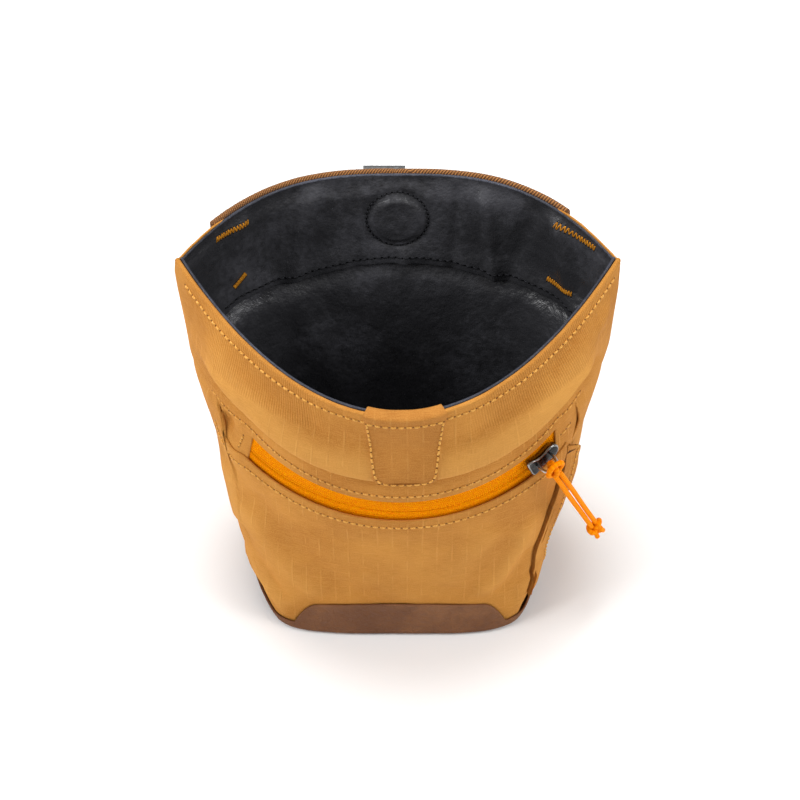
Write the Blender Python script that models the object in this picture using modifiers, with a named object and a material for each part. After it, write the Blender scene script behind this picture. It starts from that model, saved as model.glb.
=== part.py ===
"""A soft treat pouch: a tan cloth shell on a coated boot, with a black lining and a magnetic mouth,
a curved zip pocket with a cord puller on its front, and a sprung belt clip on its back.

Metres, +Z up. The origin is the middle of the base's underside, the front faces -Y and +X is the right hand.
The wall's outer skin is one lofted surface; every cloth piece is a strip of it, laid some depth inside it.
"""

import math

import bmesh
import bpy
import numpy as np
from mathutils import Matrix, Vector

# ---- the outer skin
HEIGHT = 0.153
BASE_HALF_WIDTH = 0.052
BASE_HALF_DEPTH = 0.039
MOUTH_HALF_WIDTH = 0.080
MOUTH_SETBACK = 0.020
FRONT, BACK = -1, 1
MOUTH_BULGE = {FRONT: 0.071, BACK: 0.044}
RIM_RISE = {FRONT: -0.005, BACK: 0.003}
BULGE_FLARE = {FRONT: 1.3, BACK: 1.0}
SIDE_FLARE = 0.55
CORNER_FADE = 0.8
BASE_POWER, BASE_CORNER = 3.1, 4.0
MOUTH_POWER = {FRONT: 2.0, BACK: 3.0}
MOUTH_CORNER = 1.0
SIDE_SEAM = math.inf

# ---- cloth
CLOTH = 0.0010
LINING = 0.0006
STAY = 0.0005
GAP = 0.0003
SEAM_GAP = 0.0015
SKIN_DEPTH = 0.0
INNER_DEPTH = 0.0015
FACING_DEPTH = 0.0024
POCKET_DEPTH = 0.0040
POCKET_LINING_DEPTH = 0.0051
BAND_DEPTH = -0.0016

# ---- heights
BOOT_TOP = 0.0175
WALL_FOOT = 0.0190
POCKET_FOOT = 0.0205
FACING_FOOT = 0.1130
LINING_TOP = 0.1115
PANEL_TOP = 0.1098
COLLAR_FOOT = 0.1110
BAND_FOOT = 0.1120
STRIP_HALF = 0.0145

# ---- zip
ZIP_RADIUS = 0.0768
ZIP_CENTRE = Vector((0.0, 0.0172, 0.1338))
ZIP_PLANE_TILT = math.radians(37.1)
ZIP_LEAN = math.radians(34.3)
ZIP_HALF_ANGLE = 45.5
TAPE_HALF = 0.0062
SLIDER_ANGLE = 42.2
SLIDER_HALF_ANGLE = 4.4
SLIDER_HALF = 0.0046

# ---- puller
CORD_DIAMETER = 0.0020
BAIL_WIRE = 0.0012
BAIL_HEIGHT = 0.0062
CORD_DROP = 0.0500

# ---- mouth magnets
MAGNET_RADIUS = 0.0090
MAGNET_THICKNESS = 0.0020
COVER_RADIUS = 0.0115
MAGNET_HEIGHT = 0.1335

# ---- belt clip
CLIP_X = -0.0060
CLIP_HALF_WIDTH = 0.0080
CLIP_THICKNESS = 0.0012
CLIP_GAP = 0.0070
CLIP_FOOT = 0.1150
CLIP_BEND = 0.1480
TONGUE_LENGTH = 0.0520
RIVET_RADIUS = 0.0026


def clear_scene():
    for obj in list(bpy.data.objects):
        bpy.data.objects.remove(obj, do_unlink=True)


def make_material(name, colour, roughness, metallic=0.0):
    material = bpy.data.materials.new(name)
    material.use_nodes = True
    shader = material.node_tree.nodes["Principled BSDF"]
    shader.inputs["Base Color"].default_value = (*colour, 1.0)
    shader.inputs["Roughness"].default_value = roughness
    shader.inputs["Metallic"].default_value = metallic
    return material


clear_scene()
POUCH = bpy.data.collections.new("treat_pouch")
bpy.context.scene.collection.children.link(POUCH)
CUTTERS = bpy.data.collections.new("cutters")
bpy.context.scene.collection.children.link(CUTTERS)

TAN = make_material("tan_cloth", (0.52, 0.27, 0.07), 0.85)
BROWN = make_material("brown_coated", (0.12, 0.045, 0.02), 0.6)
WEBBING = make_material("brown_webbing", (0.22, 0.11, 0.035), 0.85)
BLACK = make_material("black_lining", (0.012, 0.012, 0.015), 0.45)
BOARD = make_material("grey_board", (0.25, 0.25, 0.25), 0.7)
ORANGE = make_material("orange_zip", (0.95, 0.26, 0.01), 0.7)
GUNMETAL = make_material("gunmetal", (0.06, 0.06, 0.07), 0.35, 1.0)
STEEL = make_material("steel", (0.55, 0.55, 0.57), 0.3, 1.0)


def add_object(name, mesh, material, modifiers=()):
    mesh.materials.append(material)
    obj = bpy.data.objects.new(name, mesh)
    POUCH.objects.link(obj)
    mesh.shade_smooth()
    mesh.set_sharp_from_angle(angle=math.radians(40))
    for kind, settings in modifiers:
        modifier = obj.modifiers.new(kind.title(), kind)
        for key, value in settings.items():
            setattr(modifier, key, value)
    return obj


def loft(name, rings, material):
    """A closed solid through rings of equal length, each a closed loop of points, with flat ends."""
    count = len(rings[0])
    shape = bmesh.new()
    verts = [[shape.verts.new(point) for point in ring] for ring in rings]
    for lower, upper in zip(verts, verts[1:]):
        for i in range(count):
            j = (i + 1) % count
            shape.faces.new((lower[i], lower[j], upper[j], upper[i]))
    shape.faces.new(verts[0])
    shape.faces.new(verts[-1])
    bmesh.ops.recalc_face_normals(shape, faces=shape.faces)
    mesh = bpy.data.meshes.new(name)
    shape.to_mesh(mesh)
    shape.free()
    return add_object(name, mesh, material)


# ---- the outer skin's surface


class Section:
    """The skin's outline at a height share t, 0 at the base and 1 at the rim."""

    def __init__(self, t):
        fade = t**CORNER_FADE
        self.t = t
        self.half = BASE_HALF_WIDTH + (MOUTH_HALF_WIDTH - BASE_HALF_WIDTH) * t**SIDE_FLARE
        self.corner = BASE_CORNER + (MOUTH_CORNER - BASE_CORNER) * fade
        self.bulge = {}
        self.power = {}
        for side in (FRONT, BACK):
            growth = MOUTH_BULGE[side] - BASE_HALF_DEPTH
            self.bulge[side] = BASE_HALF_DEPTH + growth * t ** BULGE_FLARE[side]
            self.power[side] = BASE_POWER + (MOUTH_POWER[side] - BASE_POWER) * fade

    def angle(self, side, x):
        """The outline's own angle at x on one wall: 0 at the right side seam and pi at the left one."""
        share = min(1.0, abs(x) / self.half)
        return math.acos(math.copysign(share ** (self.power[side] / 2), x))

    def point(self, side, angle):
        c, s = math.cos(angle), max(0.0, math.sin(angle))
        x = self.half * math.copysign(abs(c) ** (2 / self.power[side]), c)
        y = MOUTH_SETBACK * self.t + side * self.bulge[side] * s ** (2 / self.corner)
        middle = 1 - (x / self.half) ** 2
        z = HEIGHT * self.t + RIM_RISE[side] * self.t**2 * middle
        return Vector((x, y, z))

    def run(self, side, start, end, steps):
        """Points at even distances along one wall, from x = start to x = end."""
        angles = np.linspace(self.angle(side, start), self.angle(side, end), 80)
        points = np.array([self.point(side, a) for a in angles])
        lengths = np.linalg.norm(np.diff(points, axis=0), axis=1)
        travelled = np.concatenate([[0.0], np.cumsum(lengths)])
        wanted = np.linspace(0.0, travelled[-1], steps + 1)
        axes = [np.interp(wanted, travelled, points[:, i]) for i in range(3)]
        return [Vector(p) for p in zip(*axes)]


def height_share(side, x, z):
    """The height share at which one wall reaches height z at x."""
    t = z / HEIGHT
    for _ in range(6):
        middle = 1 - min(1.0, abs(x) / Section(t).half) ** 2
        t = min(1.0, (z - RIM_RISE[side] * t**2 * middle) / HEIGHT)
    return t


def skin_point(side, x, z):
    section = Section(height_share(side, x, z))
    return section.point(side, section.angle(side, x))


def constant(value):
    return lambda *_: value


def panel(name, legs, foot, top, rows, depth, thickness, material, closed=False, floor=False):
    """A strip of the wall, its outer face at depth inside the skin.

    A leg is (wall, start, end, steps), and start and end give x at a height share. foot and top give the
    height of an edge at x, or None for the rim.
    """
    columns = []
    for index, (side, start, end, steps) in enumerate(legs):
        middle = Section(0.6).run(side, start(0.6), end(0.6), steps)
        first = 0 if index == 0 else 1
        last = steps if closed and index == len(legs) - 1 else steps + 1
        for j in range(first, last):
            x = middle[j].x
            low = height_share(side, x, foot(side, x))
            high = 1.0 if top is None else height_share(side, x, top(side, x))
            shares = [low + (high - low) * i / rows for i in range(rows + 1)]
            columns.append([Section(t).run(side, start(t), end(t), steps)[j] for t in shares])
    shape = bmesh.new()
    verts = [[shape.verts.new(point) for point in column] for column in columns]
    pairs = list(zip(verts, verts[1:]))
    if closed:
        pairs.append((verts[-1], verts[0]))
    for left, right in pairs:
        for i in range(rows):
            shape.faces.new((left[i], right[i], right[i + 1], left[i + 1]))
    if floor:
        shape.faces.new([column[0] for column in reversed(verts)])
    shape.normal_update()
    centre = Vector((0.0, MOUTH_SETBACK / 2, HEIGHT / 2))
    outward = sum(f.normal.dot(f.calc_center_median() - centre) * f.calc_area() for f in shape.faces)
    if outward < 0:
        bmesh.ops.reverse_faces(shape, faces=shape.faces)
    shape.normal_update()
    inward = [(v, v.normal * depth * v.calc_shell_factor()) for v in shape.verts]
    for vert, move in inward:
        vert.co -= move
    mesh = bpy.data.meshes.new(name)
    shape.to_mesh(mesh)
    shape.free()
    solidify = {"thickness": thickness, "offset": -1.0, "use_even_offset": True, "use_quality_normals": True}
    return add_object(name, mesh, material, [("SOLIDIFY", solidify)])


def strip(name, side, foot, top, rows, depth, thickness, material):
    """The part of a wall between the two straight edges beside the middle, which swings with the mouth."""
    legs = [(side, constant(-STRIP_HALF), constant(STRIP_HALF), 4)]
    return panel(name, legs, constant(foot) if isinstance(foot, float) else foot, top, rows, depth, thickness, material)


# ---- the zip's line: an arc in a tilted plane, whose normal is the slider's axis

ZIP_AXIS = Vector((0.0, -math.sin(ZIP_PLANE_TILT), math.cos(ZIP_PLANE_TILT)))


def zip_radial(degrees):
    turn = math.radians(degrees)
    lowest = Vector((0.0, -math.cos(ZIP_PLANE_TILT), -math.sin(ZIP_PLANE_TILT)))
    return lowest * math.cos(turn) + Vector((math.sin(turn), 0.0, 0.0))


def zip_point(degrees, up, out):
    """A point of the zip band: up across the band from its middle line, and out from the band's face."""
    radial = ZIP_RADIUS - up * math.sin(ZIP_LEAN) + out * math.cos(ZIP_LEAN)
    axial = up * math.cos(ZIP_LEAN) + out * math.sin(ZIP_LEAN)
    return ZIP_CENTRE + zip_radial(degrees) * radial + ZIP_AXIS * axial


def zip_directions(degrees):
    """The unit vectors along the zip, up across its band, and out of its face."""
    radial = zip_radial(degrees)
    up = ZIP_AXIS * math.cos(ZIP_LEAN) - radial * math.sin(ZIP_LEAN)
    out = radial * math.cos(ZIP_LEAN) + ZIP_AXIS * math.sin(ZIP_LEAN)
    return ZIP_AXIS.cross(radial), up, out


def zip_sweep(name, profile, start, end, steps, material):
    """A profile of (up, out) points carried along the zip's arc."""
    angles = [start + (end - start) * i / steps for i in range(steps + 1)]
    rings = [[zip_point(a, up, out) for up, out in profile] for a in angles]
    return loft(name, rings, material)


def zip_height(x):
    """The height of the zip's middle line at x."""
    turn = math.degrees(math.asin(max(-0.999, min(0.999, x / ZIP_RADIUS))))
    return zip_point(turn, 0.0, 0.0).z


def zip_clearance(x):
    """Half the height that the zip's slot takes up in the cloth at x."""
    return 0.0070 + 0.0016 * min(1.0, abs(x) / 0.055) ** 2


def pocket_top(_, x):
    return zip_height(min(abs(x), 0.057)) - zip_clearance(x)


def collar_bottom(side, x):
    if side == BACK or abs(x) > 0.060:
        return COLLAR_FOOT
    return min(zip_height(min(abs(x), 0.057)) + zip_clearance(x), COLLAR_FOOT)


def pocket_edge(t):
    """The pocket's half width, drawn in towards its foot."""
    return 0.050 + 0.0120 * min(1.0, max(0.0, (t - 0.12) / 0.40))


def boolean_union(base, others):
    """Joins the other objects into base, and removes them."""
    for other in others:
        modifier = base.modifiers.new("Union", "BOOLEAN")
        modifier.operation = "UNION"
        modifier.solver = "EXACT"
        modifier.object = other
        other.hide_render = True
        other.display_type = "WIRE"
        POUCH.objects.unlink(other)
        CUTTERS.objects.link(other)
    return base


# ---- the boot and base


def base_outline(inset, height, steps=10):
    points = []
    for i in range(4 * steps):
        turn = 2 * math.pi * i / (4 * steps)
        c, s = math.cos(turn), math.sin(turn)
        x = (BASE_HALF_WIDTH - inset) * math.copysign(abs(c) ** (2 / BASE_POWER), c)
        y = (BASE_HALF_DEPTH - inset) * math.copysign(abs(s) ** (2 / BASE_CORNER), s)
        points.append(Vector((x, y, height)))
    return points


def build_base():
    around = [
        (FRONT, constant(-SIDE_SEAM), constant(SIDE_SEAM), 16),
        (BACK, constant(SIDE_SEAM), constant(-SIDE_SEAM), 16),
    ]
    panel("boot_band", around, constant(GAP), constant(BOOT_TOP), 4, SKIN_DEPTH, 0.0012, BROWN, closed=True)
    loft("base_panel", [base_outline(0.0018, 0.0), base_outline(0.0018, 0.0014)], BROWN)
    loft("base_board", [base_outline(0.0018, 0.0017), base_outline(0.0018, 0.0037)], BOARD)
    panel("base_lining", around, constant(0.0042), constant(BOOT_TOP), 3, 0.0015, LINING, BLACK,
          closed=True, floor=True)


# ---- the fixed sides


def side_legs(sign, front_start, steps):
    """From the front wall round the side seam to the back wall's strip."""
    back_end = constant(sign * (STRIP_HALF + SEAM_GAP))
    seam = constant(sign * SIDE_SEAM)
    return [(FRONT, front_start, seam, steps[0]), (BACK, seam, back_end, steps[1])]


def build_sides():
    for word, sign in (("left", -1), ("right", 1)):
        pocket_side = lambda t, sign=sign: sign * (pocket_edge(t) + SEAM_GAP)
        strip_side = constant(sign * (STRIP_HALF + SEAM_GAP))
        lining_side = lambda t, sign=sign: sign * (pocket_edge(t) + SEAM_GAP + 0.0025)
        low_legs = side_legs(sign, pocket_side, (4, 8))
        lining_legs = side_legs(sign, lining_side, (4, 8))
        high_legs = side_legs(sign, strip_side, (8, 10))
        foot, top = constant(WALL_FOOT), constant(PANEL_TOP)
        panel(f"side_panel_{word}", low_legs, foot, top, 5, SKIN_DEPTH, CLOTH, TAN)
        panel(f"side_lining_{word}", lining_legs, foot, top, 5, INNER_DEPTH, LINING, BLACK)
        panel(f"collar_{word}", high_legs, collar_bottom, None, 3, SKIN_DEPTH, CLOTH, TAN)
        panel(f"facing_{word}", high_legs, constant(FACING_FOOT), None, 3, INNER_DEPTH, LINING, BLACK)
        band = [(BACK, strip_side, constant(sign * 0.062), 8)]
        panel(f"back_band_{word}", band, constant(BAND_FOOT), None, 2, BAND_DEPTH, CLOTH, WEBBING)


# ---- the zip pocket


def build_pocket():
    across = [(FRONT, lambda t: -pocket_edge(t), pocket_edge, 14)]
    panel("pocket_panel", across, constant(POCKET_FOOT), pocket_top, 5, SKIN_DEPTH, CLOTH, TAN)
    for word, sign in (("left", -1), ("right", 1)):
        inner = constant(sign * (STRIP_HALF + SEAM_GAP))
        outer = lambda t, sign=sign: sign * (pocket_edge(t) - 0.001)
        legs = [(FRONT, inner, outer, 4)]
        foot = constant(POCKET_FOOT + 0.001)
        panel(f"pocket_back_{word}", legs, foot, constant(0.106), 5, POCKET_DEPTH, 0.0008, TAN)
        panel(f"front_lining_{word}", legs, foot, constant(0.106), 5, POCKET_LINING_DEPTH, LINING, BLACK)
    for word, sign in (("lower", -1), ("upper", 1)):
        tape = [(0.0007, -0.0004), (TAPE_HALF, -0.0004), (TAPE_HALF, -0.0009), (0.0007, -0.0009)]
        coil = [(0.0007, 0.0), (0.0022, 0.0), (0.0028, 0.0006), (0.0022, 0.0012), (0.0007, 0.0012)]
        mirrored = lambda profile: [(sign * up, out) for up, out in profile]
        zip_sweep(f"zip_tape_{word}", mirrored(tape), -ZIP_HALF_ANGLE, ZIP_HALF_ANGLE, 24, ORANGE)
        zip_sweep(f"zip_coil_{word}", mirrored(coil), -43.8, 46.6, 24, ORANGE)
    square = [(-TAPE_HALF, -0.0010), (TAPE_HALF, -0.0010), (TAPE_HALF, 0.0), (-TAPE_HALF, 0.0)]
    stop = [(-0.0026, 0.0002), (0.0026, 0.0002), (0.0022, 0.0016), (-0.0022, 0.0016)]
    zip_sweep("zip_end_left", square, -47.6, -45.8, 2, TAN)
    zip_sweep("zip_end_right", square, 47.3, 48.3, 2, TAN)
    zip_sweep("zip_stop_left", stop, -45.4, -44.1, 2, STEEL)


def build_slider():
    start, end = SLIDER_ANGLE - SLIDER_HALF_ANGLE, SLIDER_ANGLE + SLIDER_HALF_ANGLE
    half = SLIDER_HALF
    cap = [(-half, -0.0001), (-half, 0.0020), (-half + 0.0008, 0.0026), (half - 0.0008, 0.0026),
           (half, 0.0020), (half, -0.0001), (half - 0.0008, -0.0001), (half - 0.0008, 0.0015),
           (-half + 0.0008, 0.0015), (-half + 0.0008, -0.0001)]
    sole = [(-0.0036, -0.0022), (0.0036, -0.0022), (0.0036, -0.0012), (-0.0036, -0.0012)]
    post = [(-0.0004, -0.0017), (0.0004, -0.0017), (0.0004, 0.0020), (-0.0004, 0.0020)]
    body = zip_sweep("slider_body", cap, start, end, 4, GUNMETAL)
    plate = zip_sweep("slider_sole", sole, start + 0.3, end - 0.3, 4, GUNMETAL)
    wedge = zip_sweep("slider_wedge", post, start + 0.8, start + 3.0, 2, GUNMETAL)
    boolean_union(body, [plate, wedge])


# ---- tubes


def tube(name, points, diameter, material, resolution=2):
    curve = bpy.data.curves.new(name, "CURVE")
    curve.dimensions = "3D"
    curve.bevel_depth = diameter / 2
    curve.bevel_resolution = resolution
    curve.use_fill_caps = True
    spline = curve.splines.new("POLY")
    spline.points.add(len(points) - 1)
    for place, point in zip(spline.points, points):
        place.co = (*point, 1.0)
    curve.materials.append(material)
    obj = bpy.data.objects.new(name, curve)
    POUCH.objects.link(obj)
    return obj


def smooth_route(points, spacing):
    """Points about spacing apart on a Catmull-Rom curve through the given ones."""
    padded = [points[0] * 2 - points[1], *points, points[-1] * 2 - points[-2]]
    found = [points[0]]
    for a, b, c, d in zip(padded, padded[1:], padded[2:], padded[3:]):
        count = max(1, round((c - b).length / spacing))
        for i in range(1, count + 1):
            u = i / count
            found.append(
                b + (c - a) * (u / 2)
                + (a * 2 - b * 5 + c * 4 - d) * (u * u / 2)
                + (b * 3 - a - c * 3 + d) * (u**3 / 2)
            )
    return found


# ---- the puller: a bail on the slider, and two strands of cord that meet in a knot


def bail_frame():
    along, up, out = zip_directions(SLIDER_ANGLE)
    return zip_point(SLIDER_ANGLE, 0.0, 0.0026), along, up, out


def build_puller():
    foot, along, up, out = bail_frame()
    arch = []
    for i in range(9):
        turn = math.pi * i / 8
        arch.append(foot + along * (-0.0034 * math.cos(turn)) + out * (0.0012 + (BAIL_HEIGHT - 0.0018) * math.sin(turn)))
    arch = [arch[0] - out * 0.0009, *arch, arch[-1] - out * 0.0009]
    tube("slider_bail", arch, BAIL_WIRE, STEEL)

    bar = foot + out * (BAIL_HEIGHT - 0.0006)
    turns, sides = 12, 8
    reach = BAIL_WIRE / 2 + GAP + CORD_DIAMETER / 2 + 0.0001
    shape = bmesh.new()
    rings = []
    for i in range(turns):
        turn = 2 * math.pi * i / turns
        spoke = out * math.cos(turn) + up * math.sin(turn)
        ring = []
        for j in range(sides):
            lap = 2 * math.pi * j / sides
            ring.append(shape.verts.new(
                bar + spoke * (reach + CORD_DIAMETER / 2 * math.cos(lap)) + along * (CORD_DIAMETER / 2 * math.sin(lap))
            ))
        rings.append(ring)
    for i in range(turns):
        for j in range(sides):
            after = (j + 1) % sides
            following = rings[(i + 1) % turns]
            shape.faces.new((rings[i][j], rings[i][after], following[after], following[j]))
    bmesh.ops.recalc_face_normals(shape, faces=shape.faces)
    mesh = bpy.data.meshes.new("cord_hitch")
    shape.to_mesh(mesh)
    shape.free()
    add_object("cord_hitch", mesh, ORANGE)

    top = bar - up * (reach + CORD_DIAMETER / 2 + GAP)
    for word, sign in (("left", -1), ("right", 1)):
        route = [
            top + along * (sign * 0.00125),
            top - up * 0.006 + along * (sign * 0.0013) + out * 0.0003,
            top - up * 0.020 + along * (sign * 0.0022) - out * 0.0008,
            top - up * 0.036 + along * (sign * 0.0021) - out * 0.0018,
            top - up * CORD_DROP + along * (sign * 0.00125) - out * 0.0022,
        ]
        tube(f"pull_cord_{word}", smooth_route(route, 0.0035), CORD_DIAMETER, ORANGE)

    knot_centre = top - up * (CORD_DROP + 0.0040) - out * 0.0022
    shape = bmesh.new()
    bmesh.ops.create_uvsphere(shape, u_segments=12, v_segments=8, radius=0.0032)
    bmesh.ops.scale(shape, vec=(1.05, 0.95, 1.12), verts=shape.verts)
    turn = Matrix((along, out, up)).transposed().to_4x4()
    bmesh.ops.transform(shape, matrix=Matrix.Translation(knot_centre) @ turn, verts=shape.verts)
    bmesh.ops.recalc_face_normals(shape, faces=shape.faces)
    mesh = bpy.data.meshes.new("pull_knot")
    shape.to_mesh(mesh)
    shape.free()
    add_object("pull_knot", mesh, ORANGE)


# ---- the swinging middles of the front and back walls


def build_front_wall():
    strip("front_collar", FRONT, collar_bottom, None, 4, SKIN_DEPTH, CLOTH, TAN)
    strip("front_stay", FRONT, FACING_FOOT, constant(0.1430), 3, INNER_DEPTH, STAY, BOARD)
    strip("front_facing", FRONT, FACING_FOOT, None, 3, FACING_DEPTH, LINING, BLACK)
    strip("front_panel", FRONT, POCKET_FOOT, constant(0.1000), 5, POCKET_DEPTH, 0.0008, TAN)
    strip("front_lining", FRONT, POCKET_FOOT, constant(LINING_TOP - 0.0005), 5, POCKET_LINING_DEPTH, LINING, BLACK)
    legs = [(FRONT, lambda t: -0.0115 - 0.0025 * max(0.0, (t - 0.75) / 0.25),
             lambda t: 0.0115 + 0.0025 * max(0.0, (t - 0.75) / 0.25), 4)]
    panel("pull_tab", legs, constant(0.1120), None, 3, -0.0014, 0.0011, TAN)


def build_back_wall():
    strip("back_panel", BACK, WALL_FOOT, None, 7, SKIN_DEPTH, CLOTH, TAN)
    strip("back_lining", BACK, WALL_FOOT, constant(LINING_TOP), 5, INNER_DEPTH, LINING, BLACK)
    strip("back_stay", BACK, FACING_FOOT, constant(0.1500), 3, INNER_DEPTH, STAY, BOARD)
    strip("back_facing", BACK, FACING_FOOT, None, 3, FACING_DEPTH, LINING, BLACK)
    strip("back_band", BACK, BAND_FOOT, None, 3, BAND_DEPTH, CLOTH, WEBBING)


def wall_frame(side, x, z):
    """A point of the skin, the way up it, and the way out of it."""
    here = skin_point(side, x, z)
    up = (skin_point(side, x, z + 0.004) - skin_point(side, x, z - 0.004)).normalized()
    out = Vector((0.0, side * up.z, -side * up.y))
    return here, up, out


def turned(name, profile, origin, axis, material, steps=24):
    """A profile of (radius, height) points, from the axis at the top round to the axis at the bottom."""
    bottom = [(r, h) for r, h in profile]
    shape = bmesh.new()
    verts = [shape.verts.new((r, 0.0, h)) for r, h in bottom]
    for a, b in zip(verts, verts[1:]):
        shape.edges.new((a, b))
    mesh = bpy.data.meshes.new(name)
    shape.to_mesh(mesh)
    shape.free()
    screw = {"angle": 2 * math.pi, "steps": steps, "render_steps": steps, "use_merge_vertices": True,
             "merge_threshold": 0.00001, "use_smooth_shade": True}
    obj = add_object(name, mesh, material, [("SCREW", screw)])
    obj.matrix_world = Matrix.Translation(origin) @ axis.to_track_quat("Z", "Y").to_matrix().to_4x4()
    return obj


def build_magnets():
    bow = {FRONT: 0.0017, BACK: 0.0003}
    for word, side in (("front", FRONT), ("back", BACK)):
        here, _, out = wall_frame(side, 0.0, MAGNET_HEIGHT)
        inner_face = here - out * (FACING_DEPTH + LINING + GAP + bow[side])
        deep, radius = MAGNET_THICKNESS, MAGNET_RADIUS
        disc = [(0.0, deep), (radius - 0.0004, deep), (radius, deep - 0.0004), (radius, 0.0), (0.0, 0.0)]
        turned(f"{word}_magnet", disc, inner_face, -out, STEEL)
        roof, skirt = deep + GAP, radius + GAP
        cup = [(0.0, roof + LINING), (skirt + 0.0002, roof + LINING), (skirt + 0.0009, roof - 0.0004),
               (COVER_RADIUS, 0.0005), (COVER_RADIUS, 0.0), (skirt, 0.0), (skirt, roof), (0.0, roof)]
        turned(f"{word}_magnet_cover", cup, inner_face, -out, BLACK)


# ---- the belt clip


def ribbon(name, centreline, half_width, thickness, material):
    """A flat strip that follows a line in the plane x = CLIP_X."""
    rings = []
    for i, (y, z) in enumerate(centreline):
        before = centreline[max(0, i - 1)]
        after = centreline[min(len(centreline) - 1, i + 1)]
        along = Vector((0.0, after[0] - before[0], after[1] - before[1])).normalized()
        across = Vector((0.0, -along.z, along.y)) * (thickness / 2)
        middle = Vector((CLIP_X, y, z))
        left, right = Vector((-half_width, 0.0, 0.0)), Vector((half_width, 0.0, 0.0))
        rings.append([middle + left - across, middle + right - across, middle + right + across, middle + left + across])
    return loft(name, rings, material)


def build_clip():
    here, up, out = wall_frame(BACK, CLIP_X, CLIP_BEND)
    plate_depth = -BAND_DEPTH + GAP + CLIP_THICKNESS / 2
    radius = (CLIP_GAP + CLIP_THICKNESS) / 2
    bend = here + out * (plate_depth + radius)
    foot = bend - out * radius - up * (CLIP_BEND - CLIP_FOOT)
    line = [foot]
    for i in range(9):
        turn = math.pi * i / 8
        line.append(bend - out * (radius * math.cos(turn)) + up * (radius * math.sin(turn)))
    line = [(p.y, p.z) for p in line]
    ribbon("clip_plate", line, CLIP_HALF_WIDTH, CLIP_THICKNESS, GUNMETAL)

    tongue_top = bend + out * radius - up * 0.0012
    straight = tongue_top - up * (TONGUE_LENGTH - 0.012)
    tongue = [tongue_top, straight]
    for i in range(1, 5):
        tongue.append(straight - up * (0.003 * i) + out * (0.00035 * i * i))
    tongue = [(p.y, p.z) for p in tongue]
    ribbon("clip_tongue", tongue, CLIP_HALF_WIDTH, CLIP_THICKNESS, GUNMETAL)

    for word, drop in (("upper", 0.008), ("lower", 0.026)):
        seat = here - up * drop + out * (plate_depth + CLIP_THICKNESS / 2 + GAP)
        head = [(0.0, 0.0009), (RIVET_RADIUS * 0.6, 0.0007), (RIVET_RADIUS, 0.0), (0.0, 0.0)]
        turned(f"clip_rivet_{word}", head, seat, out, STEEL, steps=16)


build_base()
build_sides()
build_pocket()
build_slider()
build_puller()
build_front_wall()
build_back_wall()
build_magnets()
build_clip()
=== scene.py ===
"""The looks of a soft treat pouch: tan ripstop canvas over a coated brown boot, a black coated lining,
a curved orange zip with a cord puller, a woven band and a belt clip on the back.

Metres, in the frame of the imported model: the front faces -Y, +X is the right hand, and the base is at z = 0.
"""

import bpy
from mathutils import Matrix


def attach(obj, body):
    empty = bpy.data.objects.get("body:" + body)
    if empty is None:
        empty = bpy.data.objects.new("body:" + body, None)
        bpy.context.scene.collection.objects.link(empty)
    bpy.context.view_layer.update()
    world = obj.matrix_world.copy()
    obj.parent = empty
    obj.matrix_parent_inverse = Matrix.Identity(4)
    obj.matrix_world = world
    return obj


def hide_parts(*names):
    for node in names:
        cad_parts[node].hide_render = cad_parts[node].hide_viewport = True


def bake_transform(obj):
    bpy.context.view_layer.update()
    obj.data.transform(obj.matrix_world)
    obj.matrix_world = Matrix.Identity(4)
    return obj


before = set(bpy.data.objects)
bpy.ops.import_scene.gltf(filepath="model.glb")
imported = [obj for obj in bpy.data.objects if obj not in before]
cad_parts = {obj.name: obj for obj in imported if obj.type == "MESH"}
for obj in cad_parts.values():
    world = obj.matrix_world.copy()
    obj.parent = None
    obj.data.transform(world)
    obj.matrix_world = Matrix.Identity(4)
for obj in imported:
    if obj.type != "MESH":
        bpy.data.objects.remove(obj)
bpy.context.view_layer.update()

import math
from functools import partialmethod

import bmesh
import bpy
import numpy as np
from mathutils import Matrix, Vector
from mathutils.bvhtree import BVHTree

MM = 0.001
TINY = 1e-12
SOLVER_STEPS = 24
FOLD_STEPS = 4

# ---- the outer skin, as in the CAD model
HEIGHT = 0.153
BASE_HALF_WIDTH = 0.052
BASE_HALF_DEPTH = 0.039
MOUTH_HALF_WIDTH = 0.080
MOUTH_SETBACK = 0.020
FRONT, BACK = -1, 1
MOUTH_BULGE = {FRONT: 0.071, BACK: 0.044}
RIM_RISE = {FRONT: -0.005, BACK: 0.003}
BULGE_FLARE = {FRONT: 1.3, BACK: 1.0}
SIDE_FLARE = 0.55
CORNER_FADE = 0.8
BASE_POWER, BASE_CORNER = 3.1, 4.0
MOUTH_POWER = {FRONT: 2.0, BACK: 3.0}
MOUTH_CORNER = 1.0
FOOT_SHARE = 0.16
FOOT_BULGE = {FRONT: 0.0016, BACK: 0.0006}
# (height, how far the side stands out of the even shape), in millimetres
SIDE_STRETCH = {
    "left": ((0, -1.8), (12, -1.0), (30, 0.0), (84, 0.0), (94, 1.0), (102, 2.2), (110, 3.1), (125, 2.8),
             (140, 2.9),
             (148, 2.6), (153, 1.6)),
    "right": ((0, -3.6), (12, -3.4), (30, -3.2), (45, -2.8), (60, -1.4), (78, -1.2), (90, -1.6), (104, 0.2),
              (120, 2.2), (140, 1.4), (153, 0.0)),
}

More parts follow.
